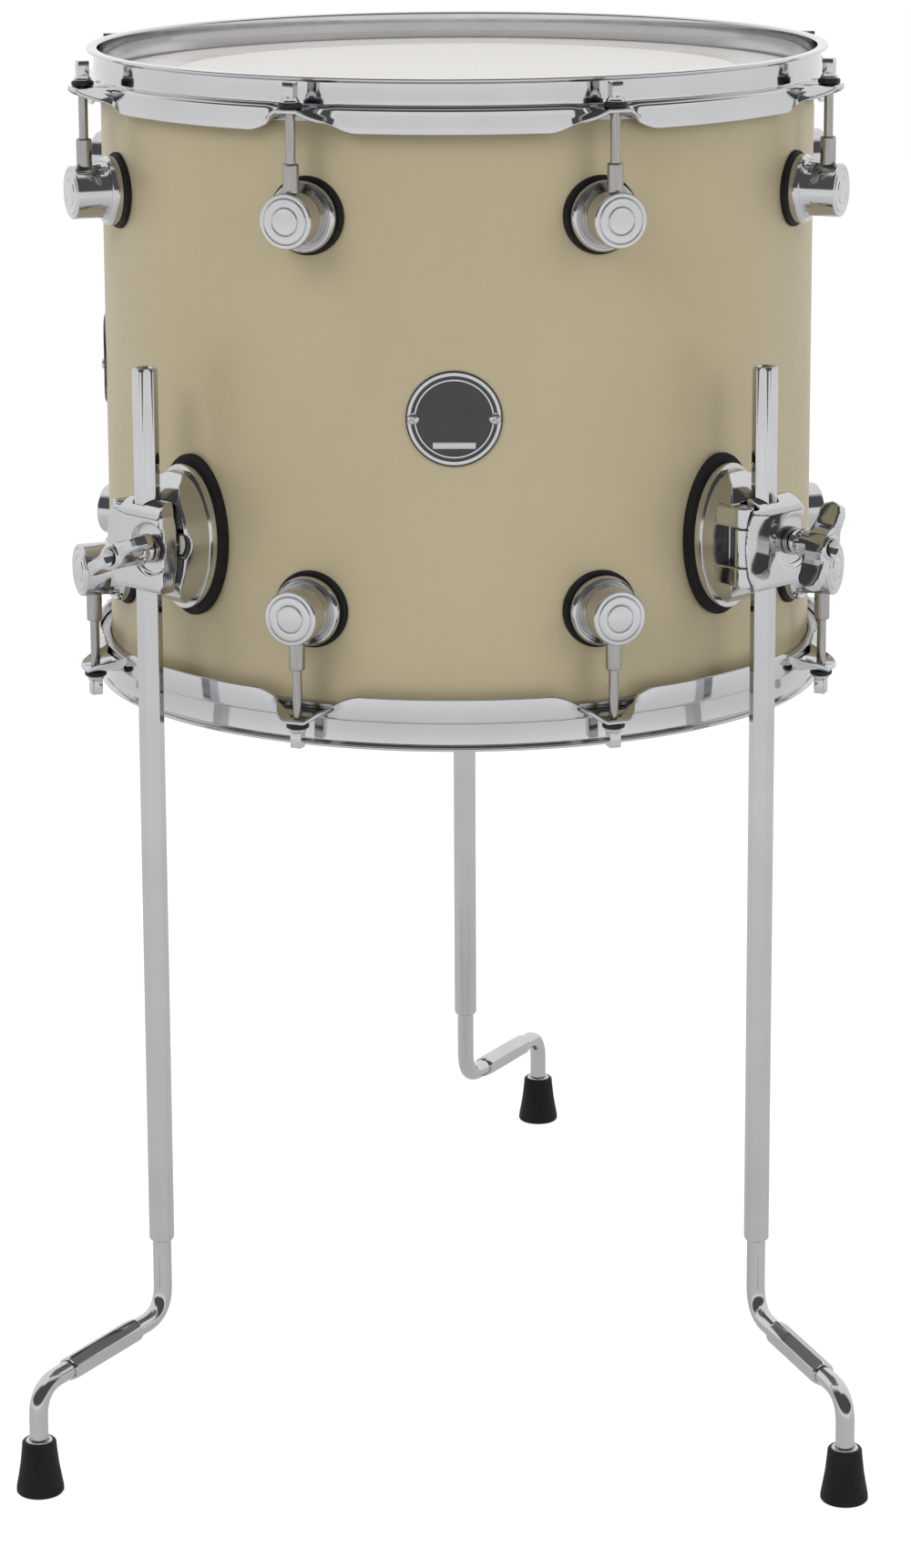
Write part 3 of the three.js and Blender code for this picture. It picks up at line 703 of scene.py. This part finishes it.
def lug_meshes():
    """A lug's gasket and casting at its station, and its sleeve about the rod's axis."""
    on_wall = shift(y=-SHELL_R) @ OUTWARDS
    gasket = lathe("gasket", rounded([
        (0, -3), (GASKET_R, -3), (GASKET_R, 1.6), (20.4, 2.6), (0, 2.6),
    ], 0.7, 4, radii={1: 0}), 64, 40)
    casting = lathe("casting", rounded([
        (0, 2.4), (LUG_FLANGE_R, 2.4), (LUG_FLANGE_R, 6.4), (18.4, 8.2), (17.4, 8.9),
        (16.8, 8.4), (16.2, 8.2), (15.7, 9.4), (15.2, 11.2), (TURRET_R, 13.6), (TURRET_R, 26.9),
        (14.5, 27.7), (12.6, 27.8), (12.4, 27.4), (12.1, 27.4), (11.9, 28.0), (7.8, 28.1),
        (7.6, 27.7), (7.25, 27.7), (7.05, LUG_REACH), (0, LUG_REACH),
    ], 0.5, 3, radii={4: 0.8, 5: 0.8, 10: 1.0}), 96, 28)
    sleeve = lathe("sleeve", rounded([
        (0, 8), (SLEEVE_R, 8), (SLEEVE_R, 27.6), (SLEEVE_R, 28.9), (3.9, SLEEVE_TOP),
        (3.35, SLEEVE_TOP), (SLEEVE_BORE, 17), (0, 17),
    ], 0.4, 3), 40, 30)
    rim = turned_ring("sleeve_rim", [
        (SLEEVE_BORE, 28.0), (4.36, 28.0), (4.36, 28.9), (3.95, SLEEVE_TOP),
        (SLEEVE_BORE, SLEEVE_TOP),
    ], 0.25, 2, 40, 30)
    gasket, casting = on_shell(moved(gasket, on_wall)), moved(casting, on_wall)
    return gasket, casting, joined("sleeve", [sleeve, rim])


def rod_meshes():
    """The rod's shank, its washer, and its collar with the square key."""
    crest_r, tip, washer_top = 2.75, -41.0, 2.7
    shank = lathe("shank", [
        (0, tip), *thread(2.45, crest_r, tip, 0.8, 13),
        (SHANK_R, -30.5), (SHANK_R, -29), (SHANK_R, 3.2), (0, 3.2)], 32, 60)
    washer = turned_ring("nylon_washer", [
        (crest_r, 0.1), (6.25, 0.1), (6.25, washer_top), (crest_r, washer_top),
    ], 0.55, 3, 40)
    collar = lathe("collar", rounded([
        (0, washer_top), (4.9, washer_top), (5.2, 3.4), (4.7, 4.4), (3.5, 5.7), (3.2, 6.4),
        (0, 6.4),
    ], 0.5, 3), 40, 34)
    square = [(x * KEY_HALF, y * KEY_HALF) for x, y in ((1, -1), (1, 1), (-1, 1), (-1, -1))]
    key = prism("key", rounded(square, 0.5, 3, closed=True), 4.6, 13.85, edge=0.55)
    return shank, washer, joined("rod_head", [collar, key])


def add_tension(side, matrix, sign):
    """One head's lugs and rods. A sign of -1 keeps the azimuths under the head turned over."""
    gasket, casting, sleeve = lug_meshes()
    shank, washer, head = rod_meshes()
    for i in range(LUG_COUNT):
        azimuth = 360 / LUG_COUNT * (i + 0.5)
        station = matrix @ turn(sign * azimuth + (180 if sign < 0 else 0))
        tag = f"{side}_{i + 1}"
        up = station @ shift(z=MIDDLE + LUG_LEVEL)
        lug = f"{side}_lug_{i + 1}"
        place(f"lug_casting_{tag}", casting, CAST_CHROME, "drum", up, (lug,))
        place(f"lug_gasket_{tag}", gasket, RUBBER, "drum", up)
        place(f"lug_sleeve_{tag}", sleeve, STEEL, "drum", up @ shift(y=-ROD_R))
        body = f"{side}_tension_rod_{i + 1}"
        on_rod = station @ shift(y=-ROD_R)
        place(f"rod_shank_{tag}", shank, STEEL, body, on_rod, (body,))
        place(f"rod_washer_{tag}", washer, NYLON, body, on_rod)
        place(f"rod_head_{tag}", head, CHROME, body, on_rod)


# Badges
def badge_mesh():
    """A disc bent round the shell, its rings raised by radius."""
    field = BADGE_FIELD
    rings = [(0, field), (13, field), (20.2, field), (20.5, 1.25), (21.3, 1.25), (21.6, field),
             (22.9, field), (23.2, 1.35), (24.9, 1.35), (25.2, 1.1), (25.9, 1.0), (BADGE_R, 0.3)]
    segments = 96
    verts = []
    for radius, height in rings:
        for k in range(segments):
            a = TAU * k / segments
            x, z = radius * math.cos(a), radius * math.sin(a)
            r = SHELL_R + height
            verts.append((r * math.sin(x / SHELL_R), -r * math.cos(x / SHELL_R), z))
    mesh = make_mesh("badge_plate", verts, ring_faces(segments, len(rings), capped=False), 30)

    def on_metal(x, y, z):
        radius = math.hypot(math.atan2(x, -y) * SHELL_R, z)
        return any(start < radius < end for start, end in BADGE_METAL)

    return two_finished(mesh, ENAMEL, SATIN, on_metal)


def screw_mesh():
    """A small pan head with a cross cut in it, its axis along Z."""
    head = lathe("screw", rounded([
        (0, -0.6), (3.3, -0.6), (3.3, 0.5), (2.5, 1.3), (1.2, 1.65), (0, 1.7),
    ], 0.5, 3), 32, 40)
    cuts = []
    for angle in (0, 90):
        bar = prism("bar", [(-1.9, -0.35), (1.9, -0.35), (1.9, 0.35), (-1.9, 0.35)], 0.7, 3)
        cuts.append(moved(bar, turn(angle + 20)))
    return boolean(head, cuts)


def add_badge(name, node, azimuth):
    """A badge with a screw at either side of its dark field and one bare bar on it."""
    station = turn(azimuth) @ shift(z=MIDDLE)
    place(f"{name}_plate", badge_mesh(), None, "drum", station, (node,))
    for i, x in enumerate((-SCREW_AT, SCREW_AT)):
        lean = math.degrees(x / SHELL_R)
        seat = station @ turn(lean) @ shift(y=-SHELL_R - BADGE_FIELD) @ OUTWARDS
        place(f"{name}_screw_{i + 1}", screw_mesh(), SATIN, "drum", seat)
    bar = box_mesh(f"{name}_label", (-BAR_HALF, SHELL_R + 0.3, BAR_AT - BAR_HEIGHT),
                   (BAR_HALF, SHELL_R + 1.25, BAR_AT), 0.3)
    place(f"{name}_label", bar, SATIN, "drum", station)


# Leg brackets
def oval_stack(name, levels, angle=32):
    """A closed body through ovals, each (width, height, distance out from the leg's axis)."""
    count = 96
    angles = [TAU * k / count for k in range(count)]
    verts = [(width / 2 * math.cos(a), -out, height / 2 * math.sin(a))
             for width, height, out in levels for a in angles]
    return make_mesh(name, verts, ring_faces(count, len(levels)), angle)


def side_prism(name, outline, width):
    """An outline of (out, up) drawn sideways over a width, centred on the leg's axis."""
    mesh = prism(name, [(-out, z) for out, z in outline], -width / 2, width / 2)
    # the outline's x runs out along Y, its y runs up, and it is drawn sideways
    axes = Matrix(((0, 0, 1, 0), (1, 0, 0, 0), (0, 1, 0, 0), (0, 0, 0, 1)))
    return moved(mesh, axes)


def on_hinge(name, diameter, low, high):
    """A round body about the hinge's axis."""
    r = diameter / 2
    mesh = lathe(name, [(0, low), (r, low), (r, high), (0, high)], 32)
    return moved(mesh, shift(x=HINGE_X, y=-HINGE_OUT))


def bolt_scoop(face):
    """A round groove that runs sideways from the bolt, its axis a little out of a face."""
    groove = lathe("scoop", [(0, 0), (SCOOP_R, 0), (SCOOP_R, 46), (0, 46)], 64)
    return moved(groove, shift(x=BOLT_X, y=-(face + SCOOP_LIFT)) @ turn(90, "Y"))


def by_scoop(out, z, face):
    """Whether a place seen from the side lies within the scoop in a face, or on its wall."""
    return math.hypot(out - face - SCOOP_LIFT, z) < SCOOP_R + 0.3


def base_mesh():
    """The bracket's base: a flange, and a cast block with a window for the gate's knuckle."""
    face = BLOCK_FACE
    arch = side_prism("arch", rounded([
        (-34, -37.5), (-23.7, -37.5), (face - 13, -36), (face - 4.2, -30.5), (face, -23),
        (face, 23), (face - 4.2, 30.5), (face - 13, 36), (-23.7, 37.5), (-34, 37.5),
    ], 5, 5, closed=True, radii={0: 0, 9: 0, 4: 3, 5: 3}), 60)
    loaf = oval_stack("loaf", [
        (47.6, 75.4, -34), (47, 75, -8.0), (46.6, 74.6, -7.0), (45.4, 73.4, -6.2), (42, 71, 3)])
    block = boolean(loaf, [arch], "INTERSECT")
    flange = oval_stack("flange", [
        (48.6, 80.6, -34.5), (48.6, 80.6, -24.3), (48.3, 80.3, -23.85), (47.8, 79.8, -23.6),
        (44, 75, -23.6), (38, 70, -23.6)])
    window_back = face - 8
    bodies = [boolean(block, [
        box_mesh("window", (-40, window_back, -WINDOW_HALF), (-12, 5, WINDOW_HALF)),
        box_mesh("pocket", (6.9, -19.1, -5.9), (19.1, 5, 5.9)),
        bolt_scoop(face),
    ])]
    for low, high in ((WINDOW_HALF, KNUCKLE_END), (-KNUCKLE_END, -WINDOW_HALF)):
        bodies.append(on_hinge("knuckle", KNUCKLE, low, high))
        bodies.append(box_mesh("web", (-23.0, window_back, low), (-12.6, HINGE_OUT - 1, high)))
    melted = cast("bracket_block", joined("block", bodies), VOXEL)
    seat_r = SHELL_R + 2.0
    seat = lathe("seat", [(0, -60), (seat_r, -60), (seat_r, 60), (0, 60)], WIDE_SEGMENTS)
    seat = moved(seat, shift(y=LEG_R))
    mesh = joined("bracket_base", [boolean(body, [seat], angle=30) for body in (melted, flange)])

    # Painted shade: the faces deep in the window and in the pocket's scoop take the dark finish.
    def in_painted_shade(x, y, z):
        in_window = x < -12.3 and abs(z) < 10.4 and face - 9 < -y < face - 0.8
        in_pocket = x > 7.2 and by_scoop(-y, z, face) and -y < face - 0.9
        return in_window or in_pocket

    return two_finished(mesh, CAST_CHROME, RECESS_SHADE, in_painted_shade)


def gate_mesh():
    """The bracket's gate: a bowed plate with a channel for the leg and a slot for the bolt."""
    grip, channel, back = -BLOCK_FACE, 8.0, 2.1
    beside, before = HINGE_X + BASE_CLEAR, -HINGE_OUT - BASE_CLEAR
    outline = rounded([
        (beside, back), (beside, before), (-24, before), (-24, -9.2), (-7, -GATE_FACE),
        (22, -GATE_FACE), (22, back), (channel, back), (channel, -0.3), (4.4, -grip),
        (-4.4, -grip), (-channel, -0.3), (-channel, back),
    ], 0.5, 3, closed=True, radii={2: 0.6, 3: 0.7, 4: 20, 5: 2.0, 6: 1.0})
    body = prism("gate", outline, -25, 25)
    side = side_prism("gate_side", rounded([
        (-8, -25), (7.6, -25), (10.9, -22), (10.9, 16), (7.5, 22.5), (1.5, 25), (-8, 25),
    ], 3, 5, closed=True, radii={0: 0, 6: 0, 4: 9}), 60)
    arched = oval_stack("gate_back", [
        (44, 90, -8), (44, 90, -back), (60, 130, GATE_FACE), (64, 136, 14)])
    face_outline = prism("gate_face", rounded([
        (-30, -40), (-15.5, -25.2), (-21.6, -16), (-24.2, 0), (-22.0, 14), (-16.0, 25.2),
        (-15, 40), (17.0, 40), (18.5, 25.2), (22.4, 17), (22.4, -20), (19, -25.2), (16, -40),
    ], 8, 6, closed=True, radii={8: 3, 9: 5, 10: 5, 11: 3}), -20, 20)
    body = boolean(body, [side, arched, moved(face_outline, OUTWARDS)], "INTERSECT")
    dish = moved(lathe("dish", rounded([
        (0, 8.0), (13.6, 8.0), (14.6, 10.2), (17, 12.6), (17, 20), (0, 20),
    ], 1.0, 4), 96), shift(x=BOLT_X) @ OUTWARDS)
    body = boolean(body, [dish, bolt_scoop(GATE_FACE)])
    barrel = on_hinge("barrel", KNUCKLE, -GATE_KNUCKLE, GATE_KNUCKLE)
    web = box_mesh("gate_web", (HINGE_X, -1, -GATE_KNUCKLE), (beside + 0.3, 7.6, GATE_KNUCKLE))
    melted = cast("bracket_gate", joined("gate", [body, barrel, web]), VOXEL)
    slot_outline = rounded([(7.3, -4.5), (18.7, -4.5), (18.7, 4.5), (7.3, 4.5)], 4.3, 6,
                           closed=True)
    slot = moved(prism("slot", slot_outline, -20, 20), OUTWARDS)
    mesh = boolean(melted, [on_hinge("bore", 4.8, -40, 40), slot], angle=30)

    # Painted shade: the faces deep in the scoop and in the slot take the dark finish.
    def in_painted_shade(x, y, z):
        in_scoop = x > BOLT_X and by_scoop(-y, z, GATE_FACE) and -y < 9.2
        in_slot = 7.5 < x < 18.5 and abs(z) < 4.6 and -y < 7.2
        return in_scoop or in_slot

    return two_finished(mesh, CAST_CHROME, RECESS_SHADE, in_painted_shade)


def bolt_mesh():
    """The swing bolt, its thread and the eye that it swings by."""
    bolt_r, eye_r, eye_half, eye_in = 3.6, 5.8, 5.6, 13
    shank = lathe("bolt", [
        (0, -eye_in), (bolt_r, -eye_in), (bolt_r, 8.8), *thread(3.35, 3.9, 9.4, 1.25, 18),
        (3.3, 32.4), (2.9, 33), (0, 33)], 40, 60)
    eye = lathe("eye", rounded([
        (0, -eye_half), (eye_r, -eye_half), (eye_r, eye_half), (0, eye_half)], 0.6, 3), 40)
    return joined("swing_bolt", [moved(shank, OUTWARDS), moved(eye, shift(y=eye_in))])


def washer_mesh():
    bore_r, rim_r, low, high = 4.6, 7.6, 8.3, 11.2
    flat = turned_ring("flat_washer", [
        (bore_r, low), (rim_r, low), (rim_r, high), (bore_r, high)], 0.4, 3, 48)
    return moved(flat, OUTWARDS)


def wing_nut_mesh():
    """A hub with a fluted collar and two broad arms swept outwards, melted into one casting."""
    flute_count = 20
    flutes = []
    for k in range(8 * flute_count):
        a = TAU * k / (8 * flute_count)
        r = 7.9 + 0.3 * math.cos(flute_count * a)
        flutes.append((r * math.cos(a), r * math.sin(a)))
    collar = prism("collar", flutes, 16.6, 19.6, edge=0.5)
    hub = lathe("hub", rounded([
        (0, 11.5), (6.6, 11.5), (6.6, 13.2), (5.9, 14.2), (6.0, 17), (7.7, 19.4), (7.2, 24.5),
        (6.8, 33.5), (6.7, 37.0), (6.0, 38.0), (0, 38.0),
    ], 0.9, 3), 64)
    arm = rounded([
        (18.6, 0), (20.2, 5.4), (22.6, 11.0), (23.4, 16.2), (23.2, 20.0), (25.4, 23.4),
        (30.6, 25.2), (35.8, 23.8), (37.7, 19.4), (37.8, 13.4), (37.0, 7.0), (36.6, 0),
    ], 2.6, 5)
    bow = rounded([
        (15.5, 3.3), (12, 3.5), (8.6, 4.4), (5.6, 6.1), (2.4, 6.8), (-2.4, 6.8), (-5.6, 6.1),
        (-8.6, 4.4), (-12, 3.5), (-15.5, 3.3), (-15.5, -3.3), (-12, -3.5), (-8.6, -4.4),
        (-5.6, -6.1), (-2.4, -6.8), (2.4, -6.8), (5.6, -6.1), (8.6, -4.4), (12, -3.5),
        (15.5, -3.3),
    ], 1.5, 3, closed=True)
    bodies = [moved(mesh, OUTWARDS) for mesh in (collar, hub, prism("bow", bow, 24.5, 36.9))]
    for sign in (1, -1):
        outline = [(sign * side, -out) for out, side in arm]
        bodies.append(prism("arm", outline, -3.4, 3.4, edge=1.0, steps=3))
    melted = cast("wing_nut", joined("nut", bodies), NUT_VOXEL)
    bore = lathe("bore", [
        (0, 6), (4.6, 6), *thread(4.55, 4.15, 12.2, 1, 25), (4.5, 37.0), (5.4, 38.4), (5.4, 45),
        (0, 45)], 48, 60)
    return boolean(melted, [moved(bore, OUTWARDS)], angle=34)


def add_brackets():
    gasket = oval_stack("bracket_gasket", [
        (53.0, 89.6, -37), (53.6, 90.2, -31.6), (53.2, 89.8, -30.4), (52.2, 88.8, -29.7),
        (47, 80, -29.5)], 40)
    gasket = on_shell(gasket, centre=LEG_R)
    base, gate, bolt = base_mesh(), gate_mesh(), bolt_mesh()
    washer, nut = washer_mesh(), wing_nut_mesh()
    pin = joined("hinge_pin", [
        on_hinge("pin", 4.0, -22.2, 22.2),
        on_hinge("cap", 7.4, 21.7, 22.3),
        on_hinge("cap", 7.4, -22.3, -21.7)])
    for leg, (azimuth, _, lean) in STATIONS.items():
        station = turn(azimuth) @ shift(y=-LEG_R, z=BRACKET_LEVEL)
        bolted = station @ shift(x=BOLT_X)
        place(f"{leg}_base_casting", base, None, "drum", station,
              (f"{leg}_bracket_base",))
        place(f"{leg}_base_gasket", gasket, RUBBER, "drum", station)
        place(f"{leg}_hinge_pin", pin, STEEL, "drum", station)
        place(f"{leg}_gate_casting", gate, None, f"{leg}_bracket_gate", station,
              (f"{leg}_bracket_gate",))
        place(f"{leg}_bolt", bolt, STEEL, "drum", bolted, (f"{leg}_swing_bolt",))
        place(f"{leg}_flat_washer", washer, STEEL, f"{leg}_nut_washer", bolted,
              (f"{leg}_nut_washer",))
        place(f"{leg}_nut_casting", nut, CAST_CHROME, f"{leg}_wing_nut",
              bolted @ turn(lean - 90, "Y"), (f"{leg}_wing_nut",))


# Legs and feet
def hex_radius(angle, corner):
    """How far out a hexagon with rounded corners reaches at an angle; 0 lies on a corner."""
    half_flat = HEX_FLATS / 2
    sixth = math.pi / 3
    off = abs((angle + sixth / 2) % sixth - sixth / 2)
    centre = (half_flat - corner) / math.cos(sixth / 2)
    reach = math.atan2(corner * math.sin(sixth / 2), centre + corner * math.cos(sixth / 2))
    if off < reach:
        return centre * math.cos(off) + math.sqrt(corner ** 2 - (centre * math.sin(off)) ** 2)
    return half_flat / math.cos(sixth / 2 - off)


def hex_lathe(name, profile):
    """A hexagonal bar that a turned profile of (radius, height) has cut to shape, about Z."""
    offsets = (-24, -18, -12, -8, -5, -3.4, -1.7, 0, 1.7, 3.4, 5, 8, 12, 18, 24, 30)
    angles = [math.radians(60 * k + off) for k in range(6) for off in offsets]
    verts = []
    for radius, height in profile:
        for a in angles:
            r = min(radius, hex_radius(a, HEX_CORNER))
            verts.append((r * math.cos(a), r * math.sin(a), height))
    return make_mesh(name, verts, ring_faces(len(angles), len(profile)), 28)


def bent_path(corners, radius):
    """A path through corners, each of them rounded from a radius before it to one after it."""
    steps = 14
    points = [Vector(corners[0])]
    for before, here, after in zip(corners, corners[1:], corners[2:]):
        here, back, ahead = Vector(here), Vector(before), Vector(after)
        a = here + (back - here).normalized() * radius
        b = here + (ahead - here).normalized() * radius
        for k in range(steps + 1):
            t = k / steps
            points.append(a * (1 - t) ** 2 + here * 2 * t * (1 - t) + b * t * t)
    points.append(Vector(corners[-1]))
    return points


def add_legs():
    """Each leg's hexagonal tube, and its bent rod with a sleeve on its arm and a rubber foot."""
    top, step = MIDDLE + HEX_TOP, MIDDLE - HEX_FOOT
    bend, elbow = MIDDLE - ARM_DROP, MIDDLE - (ARM_DROP + ARM_FALL)
    floor = MIDDLE - FOOT_DROP
    circle = [(LEG_ROD_R * math.cos(TAU * k / 32), LEG_ROD_R * math.sin(TAU * k / 32))
              for k in range(32)]
    rod = sweep("leg_rod", circle, bent_path([
        (0, 0, step + 3), (0, 0, bend), (0, -ARM_REACH, elbow), (0, -ARM_REACH, floor + 6),
    ], ARM_BEND), 40)
    tilt = math.degrees(math.atan2(ARM_FALL, ARM_REACH))
    end = [(5.0, SLEEVE_HALF), (5.9, SLEEVE_HALF), (6.6, 29.2), (HEX_REACH, 27.6), (HEX_REACH, 10)]
    sleeve = hex_lathe("arm_sleeve", [(r, -z) for r, z in end] + end[::-1])
    sleeve = moved(sleeve, shift(y=-ARM_REACH / 2, z=MIDDLE - (ARM_DROP + ARM_FALL / 2))
                   @ turn(90 + tilt, "X") @ turn(30))
    levels = [step + 1.6 + (top - step - 3.2) * k / 6 for k in range(7)]
    tube = hex_lathe("leg_tube", [
        (5.0, step), (5.7, step), (6.4, step + 0.6), *[(HEX_REACH, z) for z in levels],
        (6.2, top - 0.3), (5.4, top), (4.4, top), (3.7, top - 0.9), (3.6, top - 3),
        (3.6, top - 14)])
    foot = lathe("foot", rounded([
        (0, 0), (12.2, 0), (13, 1.0), (12.9, 3.4), (11.8, 9.5), (10.7, 16), (10.0, 22),
        (9.5, 27.0), (9.4, 29.0), (8.6, 30.0), (5.5, 30.0), (5.4, 6.2), (0, 6.2),
    ], 1.0, 4), 64, 34)
    cuff = turned_ring("cuff", [
        (5.3, 26.5), (7.3, 26.5), (7.3, 30.1), (6.8, 30.5), (5.3, 30.5),
    ], 0.4, 3, 48)
    for leg, (azimuth, arm_azimuth, _) in STATIONS.items():
        body = f"{leg}_leg"
        axis = turn(azimuth) @ shift(y=-LEG_R)
        arm = axis @ turn(arm_azimuth - azimuth)
        place(f"{leg}_leg_tube", tube, CHROME, body, axis, (f"{leg}_leg",))
        place(f"{leg}_leg_rod", rod, CHROME, body, arm)
        place(f"{leg}_arm_sleeve", sleeve, CHROME, body, arm)
        at_foot = arm @ shift(y=-ARM_REACH, z=floor)
        place(f"{leg}_foot_rubber", foot, RUBBER, body, at_foot, (f"{leg}_foot",))
        place(f"{leg}_foot_cuff", cuff, CHROME, body, at_foot)


add_shell()
counterhoop = hoop_mesh()
for head_side, head_matrix, head_sign in (("batter", Matrix(), 1), ("resonant", UPSIDE_DOWN, -1)):
    add_head(head_side, head_matrix)
    place(f"{head_side}_counterhoop", counterhoop, CHROME, "drum", head_matrix,
          (f"{head_side}_hoop",))
    add_tension(head_side, head_matrix, head_sign)
add_badge("front_badge", "badge", 0)
add_badge("side_badge", "side_badge", -90)
add_brackets()
add_legs()


# Stage, light and camera, in metres
FLOOR_HALF = 60
FLOOR_TONE = 0.3
FLOOR_SEEN = 0.80
FLOOR_NEAR, FLOOR_FAR = 0.36, 0.70  # the floor's brightness in mirrors, near and far
NEAR_AWAY, FAR_AWAY = 0.9, 3.6
ROOM_LIT, ROOM_SEEN = 0.70, 1.0
# What mirrors see of the room is dark where all three hold: each is a direction, and how far
# along it a ray's unit vector starts to darken and is all dark.
DARK_BOUNDS = (((0, 1, 0.5), 0.45, 0.1), ((0, 0, 1), 0.04, 0.16), ((0, 0, 1), 0.985, 0.9))
DARK_TONE = (0.1, 0.1, 0.105, 1)
LAMPS_AIM = Vector((0, 0, -0.3))


def math_node(tree, operation, first, second):
    node = tree.nodes.new("ShaderNodeMath")
    node.operation = operation
    tree.links.new(first, node.inputs[0])
    tree.links.new(second, node.inputs[1])
    return node.outputs[0]


def add_stage():
    """The floor: it takes shadows, and glows for the camera and in mirrors alone."""
    level = (MIDDLE - FOOT_DROP) * MM
    corners = [(x * FLOOR_HALF, y * FLOOR_HALF, level)
               for x, y in ((-1, -1), (1, -1), (1, 1), (-1, 1))]
    mesh = make_mesh("floor", corners, [[0, 1, 2, 3]], scale=1)
    n = Nodes("pale_floor")
    tree = n.tree
    tree.nodes.remove(n.shader)
    output = next(x for x in tree.nodes if x.type == "OUTPUT_MATERIAL")
    diffuse = tree.nodes.new("ShaderNodeBsdfDiffuse")
    diffuse.inputs["Color"].default_value = (FLOOR_TONE, FLOOR_TONE, FLOOR_TONE, 1)
    glow = tree.nodes.new("ShaderNodeEmission")
    rays = tree.nodes.new("ShaderNodeLightPath").outputs
    seen = math_node(tree, "MAXIMUM", rays["Is Camera Ray"], rays["Is Glossy Ray"])
    away = tree.nodes.new("ShaderNodeVectorMath")
    away.operation = "LENGTH"
    n.link(tree.nodes.new("ShaderNodeNewGeometry").outputs["Position"], away.inputs[0])
    mirrored = n.between(away.outputs["Value"], FLOOR_NEAR, FLOOR_FAR, NEAR_AWAY, FAR_AWAY)
    shown = tree.nodes.new("ShaderNodeMix")
    n.link(rays["Is Camera Ray"], shown.inputs["Factor"])
    n.link(mirrored, shown.inputs["A"])
    shown.inputs["B"].default_value = FLOOR_SEEN
    n.link(math_node(tree, "MULTIPLY", seen, shown.outputs["Result"]), glow.inputs["Strength"])
    both = tree.nodes.new("ShaderNodeAddShader")
    n.link(diffuse.outputs[0], both.inputs[0])
    n.link(glow.outputs[0], both.inputs[1])
    n.link(both.outputs[0], output.inputs["Surface"])
    mesh.materials.append(n.material)
    floor = link_object("floor", mesh)


def add_world():
    """A white room that is a little dimmer as light, and dark in one zone as mirrors see it."""
    world = bpy.data.worlds.new("studio")
    bpy.context.scene.world = world
    world.use_nodes = True
    tree = world.node_tree
    background = tree.nodes["Background"]
    rays = tree.nodes.new("ShaderNodeLightPath").outputs
    direct = math_node(tree, "MAXIMUM", rays["Is Camera Ray"], rays["Is Glossy Ray"])
    level = tree.nodes.new("ShaderNodeMapRange")
    level.inputs["To Min"].default_value = ROOM_LIT
    level.inputs["To Max"].default_value = ROOM_SEEN
    tree.links.new(math_node(tree, "MAXIMUM", direct, rays["Is Transmission Ray"]),
                   level.inputs["Value"])
    tree.links.new(level.outputs["Result"], background.inputs["Strength"])
    generated = tree.nodes.new("ShaderNodeTexCoord").outputs["Generated"]
    shade = rays["Is Glossy Ray"]
    for axis, clear, dark in DARK_BOUNDS:
        along = tree.nodes.new("ShaderNodeVectorMath")
        along.operation = "DOT_PRODUCT"
        tree.links.new(generated, along.inputs[0])
        along.inputs[1].default_value = axis
        side = tree.nodes.new("ShaderNodeMapRange")
        side.interpolation_type = "SMOOTHSTEP"
        side.inputs["From Min"].default_value = clear
        side.inputs["From Max"].default_value = dark
        tree.links.new(along.outputs["Value"], side.inputs["Value"])
        shade = math_node(tree, "MULTIPLY", shade, side.outputs["Result"])
    tone = tree.nodes.new("ShaderNodeMix")
    tone.data_type = "RGBA"
    tree.links.new(shade, tone.inputs["Factor"])
    tone.inputs["A"].default_value = (1, 1, 1, 1)
    tone.inputs["B"].default_value = DARK_TONE
    tree.links.new(tone.outputs["Result"], background.inputs["Color"])


def add_light(name, place_at, size, power):
    """A soft lamp aimed at the drum. Mirrors don't see it, as they see the room."""
    light = bpy.data.lights.new(name, "AREA")
    light.shape = "RECTANGLE"
    light.size, light.size_y = size
    light.energy = power
    obj = link_object(name, light)
    obj.location = place_at
    obj.rotation_mode = "QUATERNION"
    obj.rotation_quaternion = (LAMPS_AIM - Vector(place_at)).to_track_quat("-Z", "Y")
    obj.visible_glossy = False


def add_camera():
    """The camera at the photograph's place: pitched down, rolled a little, its view raised."""
    focal_px, centre_y = 4669.38, 600.0
    pitch, roll, yaw = 0.2089, -0.0046, 0.7269
    distance, height, aside = 2.43182, 0.40287, -0.00219
    tall, sensor = 1721, 36
    data = bpy.data.cameras.new("camera")
    data.sensor_width = sensor
    data.lens = focal_px * sensor / tall
    data.shift_y = (centre_y - tall / 2) / tall
    camera = link_object("camera", data)
    level = Matrix.Translation((aside, -distance, height + MIDDLE * MM))
    look = Matrix.Rotation(math.pi / 2 - pitch, 4, "X")
    camera.matrix_world = turn(yaw) @ level @ look @ Matrix.Rotation(roll, 4, "Z")
    bpy.context.scene.camera = camera


add_stage()
add_world()
add_light("key", (-1.8, -2.4, 1.9), (1.6, 1.6), 43)
add_light("fill", (2.2, -2.0, 1.0), (1.4, 1.8), 21)
add_light("top", (0.2, 0.3, 2.4), (2.0, 2.0), 29)
add_camera()
bpy.context.scene.view_settings.view_transform = "Standard"
